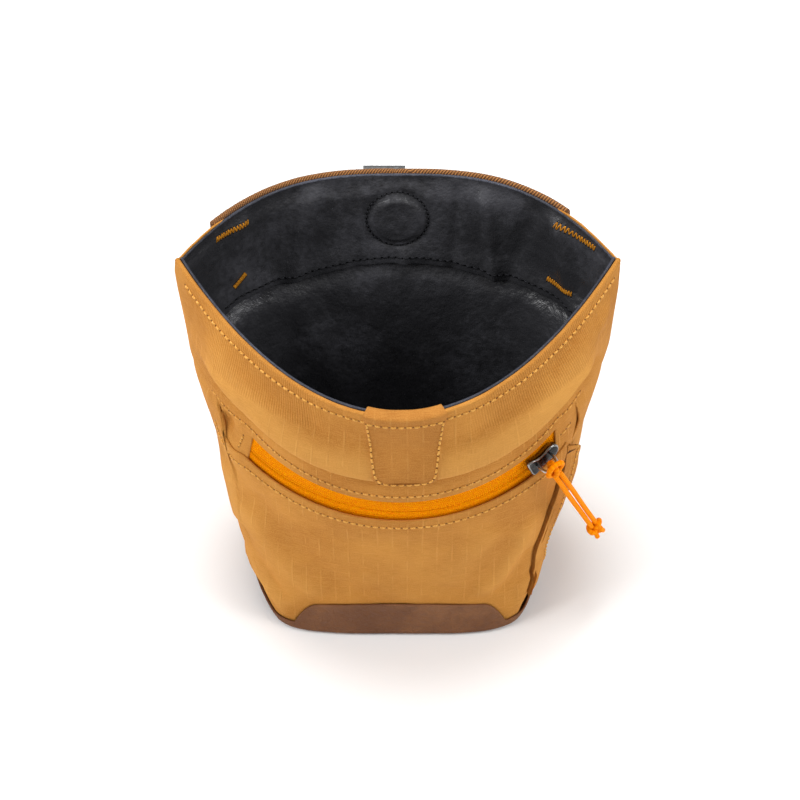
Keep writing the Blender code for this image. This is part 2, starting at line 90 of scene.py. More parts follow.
# ---- the zip's arc, as in the CAD model
ZIP_RADIUS = 0.0768
ZIP_CENTRE = np.array((0.0, 0.0172, 0.1338))
ZIP_PLANE_TILT = math.radians(37.1)
ZIP_LEAN = math.radians(34.3)
ZIP_AXIS = np.array((0.0, -math.sin(ZIP_PLANE_TILT), math.cos(ZIP_PLANE_TILT)))
ZIP_LOWEST = np.array((0.0, -math.cos(ZIP_PLANE_TILT), -math.sin(ZIP_PLANE_TILT)))
SLIDER_ANGLE = 42.2
LARGEST_SHIFT = 0.0030
HOLD_UP, HOLD_DEGREES = (0.009, 0.026), (46.0, 58.0)

# ---- layer distances for the facing and the band
FACING_LAYER, BAND_LAYER = -0.0042, 0.0028


# ---- the camera, at the photo's angle, and the studio round the pouch
CAMERA_LENS, CAMERA_SENSOR = 92.8, 36.0
CAMERA_PLACE, CAMERA_TILT = (0.0, -0.50109, 0.69481), math.radians(40.0)
LIGHTS = (("top", (-0.1, 0.35, 2.0), 0.8, 26.0), ("left", (-1.5, -0.4, 1.2), 0.8, 20.0),
          ("right", (1.5, -0.4, 1.1), 0.9, 15.0))
LIGHTS_AIM = (0.0, 0.0, 0.07)
WORLD_STRENGTH = 0.40
FLOOR_HALF, FLOOR_DROP = 3.0, 0.0002


# =====================================================================================================
# Small helpers
# =====================================================================================================


def linked(name, data):
    """A new object in the scene."""
    obj = bpy.data.objects.new(name, data)
    bpy.context.scene.collection.objects.link(obj)
    return obj


def mesh_of(name, shape, *materials):
    """A mesh from a bmesh, which is freed."""
    mesh = bpy.data.meshes.new(name)
    shape.to_mesh(mesh)
    shape.free()
    for material in materials:
        mesh.materials.append(material)
    return mesh


def editable(mesh):
    shape = bmesh.new()
    shape.from_mesh(mesh)
    return shape


def dress(piece, slot="tan_cloth", *nodes):
    """The piece stands for the CAD nodes, if there are any, which are hidden. slot is not used."""
    if nodes:
        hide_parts(*nodes)
    return piece


def unit(vectors):
    """Vectors of length 1, along the last axis."""
    return vectors / np.maximum(np.linalg.norm(vectors, axis=-1, keepdims=True), TINY)


def distances(line):
    """How far along a line of points each point is."""
    return np.concatenate([[0.0], np.cumsum(np.linalg.norm(np.diff(line, axis=0), axis=-1))])


def smoothstep(low, high, value):
    share = np.clip((value - low) / (high - low), 0.0, 1.0)
    return share * share * (3 - 2 * share)


def hump(distance, width):
    return np.exp(-((distance / width) ** 2))


def build_camera():
    data = bpy.data.cameras.new("camera")
    data.lens, data.sensor_width = CAMERA_LENS, CAMERA_SENSOR
    camera = linked("camera", data)
    camera.location, camera.rotation_euler = CAMERA_PLACE, (CAMERA_TILT, 0.0, 0.0)
    bpy.context.scene.camera = camera


# =====================================================================================================
# The skin's surface
# =====================================================================================================


def section(side, t):
    """The outline's half width, corner exponent, bulge and roundness exponent at the height share t."""
    fade = t**CORNER_FADE
    half = BASE_HALF_WIDTH + (MOUTH_HALF_WIDTH - BASE_HALF_WIDTH) * t**SIDE_FLARE
    corner = BASE_CORNER + (MOUTH_CORNER - BASE_CORNER) * fade
    bulge = BASE_HALF_DEPTH + (MOUTH_BULGE[side] - BASE_HALF_DEPTH) * t ** BULGE_FLARE[side]
    power = BASE_POWER + (MOUTH_POWER[side] - BASE_POWER) * fade
    foot = np.maximum(0.0, 1 - np.asarray(t) / FOOT_SHARE) ** 2
    return half, corner + 3.0 * foot, bulge + FOOT_BULGE[side] * foot, power + 1.3 * foot


def side_stretch(c, t):
    """How far the filled pouch's left and right sides have settled out of, or into, the even shape."""
    z = np.asarray(t) * HEIGHT / MM
    left, right = (np.interp(z, *zip(*SIDE_STRETCH[side])) for side in ("left", "right"))
    return np.where(np.asarray(c) < 0, left, right) * MM


def skin(side, turn, t):
    """Points of a wall: turn runs from 0 at the right side seam to pi at the left one."""
    half, corner, bulge, power = section(side, t)
    c, s = np.cos(turn), np.maximum(0.0, np.sin(turn))
    half = half + side_stretch(c, t)
    x = half * np.sign(c) * np.abs(c) ** (2 / power)
    y = MOUTH_SETBACK * t + side * bulge * s ** (2 / corner)
    z = HEIGHT * t + RIM_RISE[side] * t**2 * (1 - (x / half) ** 2)
    return np.stack(np.broadcast_arrays(x, y, z), axis=-1)


def turn_at(side, x, t):
    half, _, _, power = section(side, t)
    share = np.clip(np.abs(x) / (half + side_stretch(x, t)), 0.0, 1.0)
    return np.arccos(np.sign(x) * share ** (power / 2))


def share_at(side, turn_of, z_of):
    """The height shares at which the lines turn_of(t) reach the height z_of(x)."""
    t = np.full_like(turn_of(0.5), 0.5)
    for _ in range(SOLVER_STEPS):
        point = skin(side, turn_of(t), t)
        t = np.clip(t + (z_of(point[..., 0]) - point[..., 2]) / HEIGHT, 0.0, 1.0)
    return t


SEAM = 1.0


def wall_net(side, left, right, bottom, top, columns, rows):
    """The turns and height shares of a grid on a wall, from its bottom row up and from left to right.

    left and right are numbers or functions of the height share, and give x; bottom and top are numbers or
    functions of x, and give z, and top is None for the rim. columns is their number, or their shares of
    the run.
    """
    as_function = lambda value: value if callable(value) else (lambda _: value + 0.0 * _)
    left, right = as_function(left), as_function(right)
    middle = 0.6
    dense = np.linspace(turn_at(side, left(middle), middle), turn_at(side, right(middle), middle), 1500)
    run = skin(side, dense, middle)
    travelled = distances(run)
    wanted = np.linspace(0.0, 1.0, columns + 1) if isinstance(columns, int) else np.asarray(columns)
    share = np.interp(wanted * travelled[-1], travelled, np.linspace(0.0, 1.0, 1500))

    def turn_of(t):
        start, end = turn_at(side, left(t), t), turn_at(side, right(t), t)
        return start + (end - start) * share

    low = share_at(side, turn_of, as_function(bottom))
    high = np.ones_like(low) if top is None else share_at(side, turn_of, as_function(top))
    shares = low + (high - low) * np.linspace(0.0, 1.0, rows + 1)[:, None]
    return turn_of(shares), shares


def wall_grid(side, *limits):
    """A grid of points (row, column, xyz) on a wall."""
    return skin(side, *wall_net(side, *limits))


def cloth_uv(side, turns, shares):
    """Distances along the wall from its middle, at the same height, and up it: the grain of flat cloth."""
    heights, angles = np.linspace(0.0, 1.0, 61), np.linspace(0.0, math.pi, 601)
    table = skin(side, angles[None, :], heights[:, None])
    steps = np.linalg.norm(np.diff(table, axis=1), axis=-1)
    run = np.concatenate([np.zeros((61, 1)), np.cumsum(steps, axis=1)], axis=1)
    run = run[:, 300:301] - run
    row, column = np.clip(shares, 0, 1) * 60, np.clip(turns / math.pi, 0, 1) * 600
    i, j = np.minimum(row.astype(int), 59), np.minimum(column.astype(int), 599)
    a, b = row - i, column - j
    above = run[i + 1, j] * (1 - b) + run[i + 1, j + 1] * b
    u = (run[i, j] * (1 - b) + run[i, j + 1] * b) * (1 - a) + above * a
    return np.stack([u, shares * HEIGHT * 1.04], axis=-1)


def edge_last(grid, edge):
    """The grid turned so that the edge is its last row."""
    grid = grid if edge in ("top", "bottom") else grid.swapaxes(0, 1)
    return grid if edge in ("top", "right") else grid[::-1]


def turned_back(grid, edge):
    grid = grid if edge in ("top", "right") else grid[::-1]
    return grid if edge in ("top", "bottom") else grid.swapaxes(0, 1)


def fold_uv(uv, edge, radius, depth):
    """The cloth coordinates that go on round an edge which fold_edge has turned under."""
    grid = edge_last(uv, edge)
    onward = unit(grid[-1] - grid[-2])
    far = [math.pi * radius * i / FOLD_STEPS for i in range(1, FOLD_STEPS + 1)]
    far += [far[-1] + depth * i / 2 for i in (1, 2)]
    return turned_back(np.concatenate([grid] + [(grid[-1] + onward * f)[None] for f in far], axis=0), edge)


def grid_normals(points, side):
    """Unit normals of a grid that faces out of the pouch."""
    upward, across = np.gradient(points, axis=0), np.gradient(points, axis=1)
    return unit(np.cross(across, upward) * -side)


# ---- the zip's own surface


def zip_radial(turn):
    turn = np.asarray(turn)[..., None]
    return ZIP_LOWEST * np.cos(turn) + np.array((1.0, 0.0, 0.0)) * np.sin(turn)


def zip_point(degrees, up, out):
    """A point of the zip band: up across the band from its middle line, and out from the band's face."""
    degrees, up, out = np.broadcast_arrays(np.asarray(degrees, float), up, out)
    radial = ZIP_RADIUS - up * math.sin(ZIP_LEAN) + out * math.cos(ZIP_LEAN)
    axial = up * math.cos(ZIP_LEAN) + out * math.sin(ZIP_LEAN)
    return ZIP_CENTRE + zip_radial(np.radians(degrees)) * radial[..., None] + ZIP_AXIS * axial[..., None]


def zip_directions(degrees):
    """The unit vectors along the zip, up across its band, and out of its face."""
    radial = zip_radial(math.radians(degrees))
    up = ZIP_AXIS * math.cos(ZIP_LEAN) - radial * math.sin(ZIP_LEAN)
    out = radial * math.cos(ZIP_LEAN) + ZIP_AXIS * math.sin(ZIP_LEAN)
    return Vector(np.cross(ZIP_AXIS, radial)), Vector(up), Vector(out)


def zip_coordinates(points):
    """The turn in degrees along the zip's arc, up across the band and out of it, of any points near it."""
    away = points - ZIP_CENTRE
    axial = away @ ZIP_AXIS
    flat = away - axial[..., None] * ZIP_AXIS
    radial = np.linalg.norm(flat, axis=-1) - ZIP_RADIUS
    degrees = np.degrees(np.arctan2(flat[..., 0], flat @ ZIP_LOWEST))
    up = axial * math.cos(ZIP_LEAN) - radial * math.sin(ZIP_LEAN)
    out = axial * math.sin(ZIP_LEAN) + radial * math.cos(ZIP_LEAN)
    return degrees, up, out


def lay_on_zip(points, rise):
    """Cloth beside the zip moved onto the zip's own surface, rise above it, and eased back away from it."""
    degrees, up, out = zip_coordinates(points)
    hold = (1 - smoothstep(*HOLD_UP, np.abs(up))) * (1 - smoothstep(*HOLD_DEGREES, np.abs(degrees)))
    shift = rise - out
    shift = np.where(shift > 0, shift / (1 + (np.abs(shift) / LARGEST_SHIFT) ** 4) ** 0.25, shift)
    radial = zip_radial(np.radians(degrees))
    normal = radial * math.cos(ZIP_LEAN) + ZIP_AXIS * math.sin(ZIP_LEAN)
    return points + normal * (hold * shift)[..., None]


# =====================================================================================================
# Mesh helpers
# =====================================================================================================


def grid_uv(points, reference=None):
    """Distances along and up the cloth from the middle column and the bottom row, in metres."""
    rows, columns = points.shape[:2]
    across = np.zeros((rows, columns))
    across[:, 1:] = np.cumsum(np.linalg.norm(np.diff(points, axis=1), axis=-1), axis=1)
    middle = np.argmin(np.abs(points[rows // 2, :, 0])) if reference is None else reference
    across -= across[:, middle : middle + 1]
    upward = np.zeros((rows, columns))
    upward[1:] = np.cumsum(np.linalg.norm(np.diff(points, axis=0), axis=-1), axis=0)
    return np.stack([across, upward], axis=-1)


def grid_object(name, points, material, uv=None, flip=False, zone=None, relief=None):
    """A mesh of quads over a grid of points, with its cloth coordinates as a UV map.

    The maps zone and relief carry what the canvas shader reads: the place below the rim, and how far the folds
    stand out, from which it paints highlight on the ridges and shade in the hollows.
    """
    rows, columns = points.shape[:2]
    index = np.arange(rows * columns).reshape(rows, columns)
    faces = np.stack([index[:-1, :-1], index[:-1, 1:], index[1:, 1:], index[1:, :-1]], axis=-1).reshape(-1, 4)
    if flip:
        faces = faces[:, ::-1]
    mesh = bpy.data.meshes.new(name)
    mesh.from_pydata(points.reshape(-1, 3).tolist(), [], faces.tolist())
    for label, values in (("cloth", grid_uv(points) if uv is None else uv), ("zone", zone),
                          ("relief", relief)):
        if values is not None:
            corners = values.reshape(-1, 2)[faces.ravel()].astype(np.float32)
            mesh.uv_layers.new(name=label).data.foreach_set("uv", corners.ravel())
    mesh.materials.append(material)
    mesh.shade_smooth()
    return linked(name, mesh)


def fold_edge(points, normals, edge, radius, depth, steps=FOLD_STEPS):
    """The grid with its cloth turned under along one edge: a half circle, then a flap under the cloth."""
    grid = edge_last(points, edge)
    last, before, out = grid[-1], grid[-3], edge_last(normals, edge)[-1]
    onward = last - before
    onward = unit(onward - out * np.sum(onward * out, axis=-1, keepdims=True))
    centre = last - out * radius
    added = []
    for i in range(1, steps + 1):
        turn = math.pi * i / steps
        added.append(centre + out * (radius * math.cos(turn)) + onward * (radius * math.sin(turn)))
    for i in range(1, 3):
        added.append(centre - out * radius - onward * (depth * i / 2))
    return turned_back(np.concatenate([grid, np.array(added)], axis=0), edge)


STITCH_RINGS, STITCH_SIDES, HOLE_SIDES, STITCH_LIFT = 7, 6, 8, 0.00018


def resampled(line, spacing):
    """The line with its points evenly spaced."""
    line = np.asarray(line, float)
    travelled = distances(line)
    count = max(2, int(round(travelled[-1] / spacing)) + 1)
    wanted = np.linspace(0.0, travelled[-1], count)
    return np.stack([np.interp(wanted, travelled, line[:, i]) for i in range(3)], axis=1)


def stitch_row(name, points, normals, thread, hole_shade, pitch=0.0028, radius=0.00046, fill=0.86):
    """A row of sewn stitches: each a plump thread that dives into the cloth at both ends, into a dark cone of
    painted shade where the needle went through.
    """
    line = resampled(points, pitch) if pitch else points
    travelled = distances(points)
    wanted = np.linspace(0.0, travelled[-1], len(line)) if pitch else travelled
    out = unit(np.stack([np.interp(wanted, travelled, normals[:, i]) for i in range(3)], axis=1))
    shape = bmesh.new()
    for k, (start, end) in enumerate(zip(line, line[1:])):
        up = unit(out[k] + out[k + 1])
        along = unit(end - start)
        side = np.cross(along, up)
        run = along + side * (0.10 * math.sin(k * 1.7))
        body = []
        for i in range(STITCH_RINGS):
            share = i / (STITCH_RINGS - 1) * 2 - 1
            swell = math.sqrt(max(0.0, 1 - share * share * 0.86))
            centre = (start + end) / 2 + run * (share * np.linalg.norm(end - start) * fill / 2)
            centre = centre + up * (STITCH_LIFT - radius * 1.1 * share**4)
            body.append([
                shape.verts.new(centre + (side * math.cos(a) + up * math.sin(a) * 0.85) * radius * swell)
                for a in (2 * math.pi * j / STITCH_SIDES for j in range(STITCH_SIDES))
            ])
        for lower, upper in zip(body, body[1:]):
            for j in range(STITCH_SIDES):
                after = (j + 1) % STITCH_SIDES
                shape.faces.new((lower[j], lower[after], upper[after], upper[j]))
        shape.faces.new(body[0][::-1])
        shape.faces.new(body[-1])
    thread_faces = len(shape.faces)
    # the needle's pits: small cones coloured with painted shade
    for k in range(len(line)):
        along = unit(line[min(k + 1, len(line) - 1)] - line[max(k - 1, 0)])
        side = np.cross(along, out[k])
        rim = line[k] + out[k] * 0.00006
        ring = [
            shape.verts.new(rim + (along * math.cos(a) * 0.95 + side * math.sin(a) * 0.80) * radius)
            for a in (2 * math.pi * j / HOLE_SIDES for j in range(HOLE_SIDES))
        ]
        shape.faces.new(ring)
        foot = shape.verts.new(line[k] - out[k] * radius)
        for a, b in zip(ring, ring[1:] + ring[:1]):
            shape.faces.new((b, a, foot))
    shape.faces.ensure_lookup_table()
    for i, face in enumerate(shape.faces):
        face.material_index = 0 if i < thread_faces else 1
        face.smooth = i < thread_faces
    shape.normal_update()
    return linked(name, mesh_of(name, shape, thread, hole_shade))


def bend_with(obj):
    """The piece, with its transform baked into its mesh.
    """
    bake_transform(obj)
    return obj


# =====================================================================================================
# Materials
# =====================================================================================================


RIP_PITCH, WEAVE_PITCH, TWILL_PITCH, COATED_PITCH = 0.0056, 0.00046, 0.00098, 0.00055


class Shader:
    """A Principled material whose colour, roughness and bump are built from nodes."""

    def __init__(self, name, **fixed):
        self.material = bpy.data.materials.new(name)
        self.material.use_nodes = True
        self.tree = self.material.node_tree
        self.principled = self.tree.nodes["Principled BSDF"]
        for socket, value in fixed.items():
            label = socket.replace("_", " ").title().replace("Ior", "IOR")
            self.principled.inputs[label].default_value = value

    def node(self, kind, inputs=None, **settings):
        node = self.tree.nodes.new(kind)
        for key, value in settings.items():
            setattr(node, key, value)
        for key, value in (inputs or {}).items():
            self.feed(node.inputs[key], value)
        return node

    def feed(self, socket, value):
        """Links a node's output, or sets a number, or a display colour of three numbers."""
        if isinstance(value, bpy.types.NodeSocket):
            self.tree.links.new(value, socket)
        else:
            socket.default_value = colour(*value) if isinstance(value, tuple) and len(value) == 3 else value

    def math(self, operation, a, b=0.0, c=0.0):
        return self.node("ShaderNodeMath", {0: a, 1: b, 2: c}, operation=operation).outputs[0]

    add, sub = partialmethod(math, "ADD"), partialmethod(math, "SUBTRACT")
    mul, mul_add = partialmethod(math, "MULTIPLY"), partialmethod(math, "MULTIPLY_ADD")

    def ease(self, value, low, high, start=0.0, end=1.0):
        node = self.node("ShaderNodeMapRange", interpolation_type="SMOOTHSTEP")
        for key, given in zip(("Value", "From Min", "From Max", "To Min", "To Max"),
                              (value, low, high, start, end)):
            self.feed(node.inputs[key], given)
        return node.outputs["Result"]

    def mix(self, share, a, b):
        node = self.node("ShaderNodeMix", data_type="RGBA")
        for key, given in (("Factor_Float", share), ("A_Color", a), ("B_Color", b)):
            self.feed(next(s for s in node.inputs if s.identifier == key), given)
        return next(s for s in node.outputs if s.identifier == "Result_Color")

    def uv(self, name="cloth"):
        """The two coordinates of a UV map, in metres on cloth."""
        split = self.node("ShaderNodeSeparateXYZ", {0: self.node("ShaderNodeUVMap", uv_map=name).outputs[0]})
        return split.outputs[0], split.outputs[1]

    def place(self):
        return self.node("ShaderNodeTexCoord").outputs["Object"]

    def noise(self, vector, scale, detail=2.0, roughness=0.5):
        inputs = {"Vector": vector, "Scale": scale, "Detail": detail, "Roughness": roughness}
        return self.node("ShaderNodeTexNoise", inputs).outputs["Fac"]

    def flat(self, u, v):
        return self.node("ShaderNodeCombineXYZ", {0: u, 1: v}).outputs[0]

    def streaks(self, u, v, wide, high, detail=2.0):
        """Noise on cloth, as many to the metre along it and up it as wide and high say."""
        return self.noise(self.flat(self.mul(u, wide), self.mul(v, high)), 1.0, detail)

    def wave(self, value, pitch):
        """A wave from 0 to 1 along a coordinate in metres."""
        turn = self.mul(value, 2 * math.pi / pitch)
        return self.mul_add(self.math("SINE", turn), 0.5, 0.5)

    def rib(self, value, pitch, width):
        """1 on thin lines that repeat every pitch metres, and 0 between them."""
        share = self.math("FRACT", self.math("DIVIDE", value, pitch))
        off = self.math("ABSOLUTE", self.sub(share, 0.5))
        return self.ease(off, width / pitch / 2, width / pitch, 1.0, 0.0)

    def finish(self, tone, roughness, relief=None):
        """Feeds the shader. The relief is a height from 0 to 1, its depth in metres, and its strength."""
        self.feed(self.principled.inputs["Base Color"], tone)
        self.feed(self.principled.inputs["Roughness"], roughness)
        if relief:
            bump = self.node("ShaderNodeBump", dict(zip(("Height", "Distance", "Strength"), relief)))
            self.feed(self.principled.inputs["Normal"], bump.outputs[0])
        return self.material


def colour(red, green, blue):
    """A display colour, 0 to 255, as a linear one."""
    linear = [(c / 255 / 12.92) if c <= 10 else ((c / 255 + 0.055) / 1.055) ** 2.4
              for c in (red, green, blue)]
    return (*linear, 1.0)


def canvas_material(name, base, light, deep, twill=False):
    """Ripstop canvas: a fine plain weave, thicker rip threads in a grid, and cloudy fading. Painted highlight
    lies on the folds' ridges and painted shade in their hollows, from the fold heights. A twill band runs under
    the rim of the collar.
    """
    s = Shader(name, sheen_weight=0.10, sheen_roughness=0.45, specular_ior_level=0.15)
    s.feed(s.principled.inputs["Sheen Tint"], light)
    u, v = s.uv()
    fade = s.noise(s.place(), 34.0, 4.0, 0.6)
    slub, slub_up = s.streaks(u, v, 260.0, 2600.0), s.streaks(u, v, 2600.0, 260.0)
    grain = s.noise(s.flat(u, v), 2300.0, 1.0)
    rip_up = s.mul(s.rib(u, RIP_PITCH, 0.00042), s.ease(s.streaks(u, v, 40.0, 95.0), 0.40, 0.60))
    rip_across = s.mul(s.rib(v, RIP_PITCH, 0.00038), s.ease(s.streaks(u, v, 95.0, 40.0), 0.45, 0.65))
    rip = s.math("MAXIMUM", rip_up, s.mul(rip_across, 0.7))
    weave = s.mul(s.wave(u, WEAVE_PITCH), s.wave(v, WEAVE_PITCH))
    height = s.add(s.add(s.mul(weave, 0.45), s.mul(rip, 0.8)), s.mul(s.add(slub, slub_up), 0.35))
    if twill:
        below, sideways = s.uv("zone")
        band = s.mul(s.ease(below, 0.0155, 0.0175, 1.0, 0.0), s.ease(sideways, 0.020, 0.036))
        ridge = s.wave(s.add(u, s.mul(v, 0.12)), TWILL_PITCH)
        height = s.mul_add(s.sub(1.0, band), height, s.mul(s.mul(ridge, band), 1.3))
        rip = s.mul(rip, s.sub(1.0, band))
    tone = s.mix(s.ease(fade, 0.32, 0.70), deep, base)
    # painted highlight on the folds' ridges and painted shade in their hollows, by fold height
    relief, _ = s.uv("relief")
    tone = s.mix(s.ease(relief, 0.2 * MM, 3.4 * MM, 0.0, 0.42), tone, light)
    tone = s.mix(s.ease(relief, -0.1 * MM, -1.6 * MM, 0.0, 0.75), tone, deep)
    tone = s.mix(s.mul(rip, 0.24), tone, light)
    speck = s.ease(s.add(grain, s.mul(s.sub(slub, 0.5), 0.8)), 0.36, 0.66)
    tone = s.mix(s.mul(speck, 0.30), tone, light)
    if twill:
        tone = s.mix(s.mul(s.sub(1.0, ridge), s.mul(band, 0.32)), tone, deep)
    return s.finish(tone, s.ease(grain, 0.2, 0.8, 0.78, 0.92), (height, 0.00022, 0.75))


def coated_material(name, base, dark, light, crinkle, rough):
    """Cloth under a soft coating: a faint weave, fine crinkles and scuffs that catch the light."""
    s = Shader(name, specular_ior_level=0.45)
    u, v = s.uv()
    cloud = s.noise(s.place(), 26.0, 4.0, 0.6)
    fine = s.noise(s.place(), 420.0, 3.0, 0.6)
    crease = s.noise(s.place(), crinkle, 4.0, 0.62)
    weave = s.mul(s.wave(u, COATED_PITCH), s.wave(v, COATED_PITCH))
    height = s.mul_add(fine, 0.03, s.add(crease, s.mul(weave, 0.025)))
    scuff = s.ease(s.add(cloud, s.mul(fine, 0.35)), 0.62, 0.86)
    tone = s.mix(s.ease(cloud, 0.3, 0.7), dark, base)
    tone = s.mix(s.mul(scuff, 0.55), tone, light)
    return s.finish(tone, s.ease(fine, 0.25, 0.75, rough - 0.06, rough + 0.10), (height, 0.0022, 0.55))


def webbing_material(name, base, dark, pitch):
    """A thick twill band: steep ribs of thread with dark hollows between them."""
    s = Shader(name, sheen_weight=0.15, sheen_roughness=0.5, specular_ior_level=0.25)
    u, v = s.uv()
    wobble = s.noise(s.place(), 900.0, 1.0)
    ridge = s.wave(s.add(s.add(u, s.mul(v, 0.8)), s.mul(wobble, pitch * 0.25)), pitch)
    yarn = s.wave(s.sub(v, s.mul(u, 0.3)), pitch * 0.55)
    height = s.add(ridge, s.mul(yarn, 0.35))
    tone = s.mix(s.ease(s.mul_add(yarn, 0.2, ridge), 0.25, 0.85), dark, base)
    return s.finish(tone, s.ease(wobble, 0.2, 0.8, 0.75, 0.92), (height, 0.00035, 0.9))


def tape_material(name, base, deep, light):
    """Zip tape: a knitted herringbone in small steps."""
    s = Shader(name, specular_ior_level=0.02)
    u, v = s.uv()
    side = s.math("ABSOLUTE", s.sub(s.math("FRACT", s.math("DIVIDE", v, 0.0022)), 0.5))
    stitch = s.wave(s.mul_add(side, 0.0013, u), 0.00082)
    row = s.wave(v, 0.0011)
    grain = s.noise(s.place(), 1100.0, 2.0)
    fleck = s.ease(s.streaks(u, v, 1500.0, 1700.0, 1.0), 0.34, 0.50)
    height = s.add(s.mul(stitch, 0.7), s.mul(row, 0.5))
    share = s.ease(s.mul_add(grain, 0.6, s.mul(height, 0.45)), 0.30, 0.72)
    tone = s.mix(s.mul(share, fleck), deep, base)
    tone = s.mix(s.ease(grain, 0.62, 0.8, 0.0, 0.5), tone, light)
    return s.finish(tone, s.ease(grain, 0.2, 0.8, 0.62, 0.85), (height, 0.00036, 1.0))


def braid_material(name, base, deep, light, turns, pitch):
    """A braided cord: strands that cross in both directions round it."""
    s = Shader(name, specular_ior_level=0.05)
    u, v = s.uv()
    around, run = s.mul(u, 2 * math.pi * turns), s.mul(v, 2 * math.pi / pitch)
    one, other = s.math("SINE", s.add(around, run)), s.math("SINE", s.sub(around, run))
    strands = s.mul_add(s.mul(one, other), 0.5, 0.5)
    tone = s.mix(s.ease(strands, 0.05, 0.55), deep, base)
    tone = s.mix(s.ease(s.noise(s.place(), 1200.0, 2.0), 0.55, 0.75, 0.0, 0.4), tone, light)
    return s.finish(tone, s.ease(strands, 0.0, 1.0, 0.75, 0.55), (strands, 0.00016, 0.8))


def thread_material(name, base, deep):
    """Sewing thread, with its twist."""
    s = Shader(name, specular_ior_level=0.1)
    twist = s.noise(s.place(), 2600.0, 2.0)
    tone = s.mix(s.ease(twist, 0.35, 0.65), deep, base)
    return s.finish(tone, s.ease(twist, 0.3, 0.7, 0.5, 0.7), (twist, 0.0001, 0.6))


def metal_material(name, base, wear_and_highlight, rough):
    """Plated metal: fine brushed scratches, cloudy lighter patches, and painted highlight where the edges stand
    out.
    """
    s = Shader(name, metallic=1.0)
    fine, cloud = s.noise(s.place(), 900.0, 3.0, 0.7), s.noise(s.place(), 140.0, 3.0, 0.6)
    # painted highlight: the colour turns lighter where the edges stand out
    edge = s.ease(s.node("ShaderNodeNewGeometry").outputs["Pointiness"], 0.535, 0.62)
    tone = s.mix(s.ease(cloud, 0.45, 0.80, 0.0, 0.22), base, wear_and_highlight)
    tone = s.mix(s.mul(edge, 0.8), tone, wear_and_highlight)
    return s.finish(tone, s.ease(fine, 0.3, 0.7, rough - 0.08, rough + 0.10), (fine, 0.00006, 0.35))


def board_material(name, base, light):
    """Grey board, with its fibres."""
    s = Shader(name, specular_ior_level=0.2)
    fibre = s.noise(s.place(), 700.0, 4.0, 0.7)
    tone = s.mix(s.ease(fibre, 0.3, 0.7), base, light)
    return s.finish(tone, s.ease(fibre, 0.3, 0.7, 0.7, 0.9), (fibre, 0.0002, 0.4))


# the canvas's own tone, a lighter one and a deeper one; these two also paint highlight on the folds' ridges and
# shade in their hollows
TAN = (194, 131, 56), (226, 168, 88), (174, 111, 42)
TAB_TAN = (184, 121, 52), (216, 158, 82), (162, 102, 40)
MATERIALS = {
    "canvas": canvas_material("tan_canvas", *TAN),
    "collar": canvas_material("tan_collar_canvas", *TAN, twill=True),
    "tab": canvas_material("tan_tab_canvas", *TAB_TAN),
    "boot": coated_material("brown_coated", (120, 76, 42), (104, 62, 32), (138, 92, 55), 300.0, 0.70),
    "lining": coated_material("black_lining", (56, 56, 59), (48, 48, 51), (84, 84, 90), 120.0, 0.31),
    "piping": coated_material("black_lining_edge", (58, 60, 72), (44, 46, 56), (84, 86, 98), 400.0, 0.50),
    "webbing": webbing_material("brown_webbing", (172, 116, 62), (92, 56, 28), 0.00115),
    "tape": tape_material("orange_zip", (255, 164, 0), (246, 124, 0), (255, 190, 16)),
    "cord": braid_material("orange_cord", (255, 150, 0), (238, 112, 0), (255, 176, 10), 6.0, 0.0026),
    "thread": thread_material("tan_thread", (236, 182, 96), (200, 138, 58)),
    "gold": thread_material("gold_thread", (214, 146, 40), (150, 92, 22)),
    "dark_thread": thread_material("brown_thread", (96, 50, 26), (52, 26, 14)),
    "black_thread": thread_material("black_thread", (44, 44, 48), (20, 20, 22)),
    # painted shade in the needle's pits beside the stitches, brown on the canvas and black on the lining
    "hole_shade": thread_material("needle_hole_shade", (132, 84, 34), (104, 62, 22)),
    "black_hole_shade": thread_material("black_needle_hole_shade", (8, 8, 9), (4, 4, 5)),
    # the slider's near-black gunmetal, with painted highlight on its edges
    "gunmetal": metal_material("gunmetal", (24, 23, 23), (150, 150, 148), 0.18),
    # a lighter gunmetal on the slider's bevels, a painted highlight along its edges
    "bevel_highlight": metal_material("gunmetal_bevel_highlight", (128, 128, 126), (188, 188, 185), 0.22),
    "dark_steel": metal_material("dark_steel", (62, 62, 64), (150, 150, 150), 0.34),
    "steel": metal_material("steel", (190, 190, 192), (225, 225, 226), 0.26),
    "board": board_material("grey_board", (120, 118, 112), (160, 158, 150)),
}


# =====================================================================================================
# Folds in the cloth
# =====================================================================================================


FOLD_TAPER, CRISP_ROUND = 0.15, 0.7 * MM


def near_line(x, z, line):
    """How far each point is from a line of (x, z) points, and its share of the way along the line."""
    line = np.asarray(line, float)
    best = np.full(np.shape(x), np.inf)
    along = np.zeros(np.shape(x))
    lengths = np.linalg.norm(np.diff(line, axis=0), axis=1)
    travelled = np.concatenate([[0.0], np.cumsum(lengths)]) / lengths.sum()
    for i, (a, b) in enumerate(zip(line, line[1:])):
        d = b - a
        share = np.clip(((x - a[0]) * d[0] + (z - a[1]) * d[1]) / (d @ d), 0.0, 1.0)
        far = np.hypot(x - a[0] - share * d[0], z - a[1] - share * d[1])
        closer = far < best
        best = np.where(closer, far, best)
        along = np.where(closer, travelled[i] + share * (travelled[i + 1] - travelled[i]), along)
    return best, along


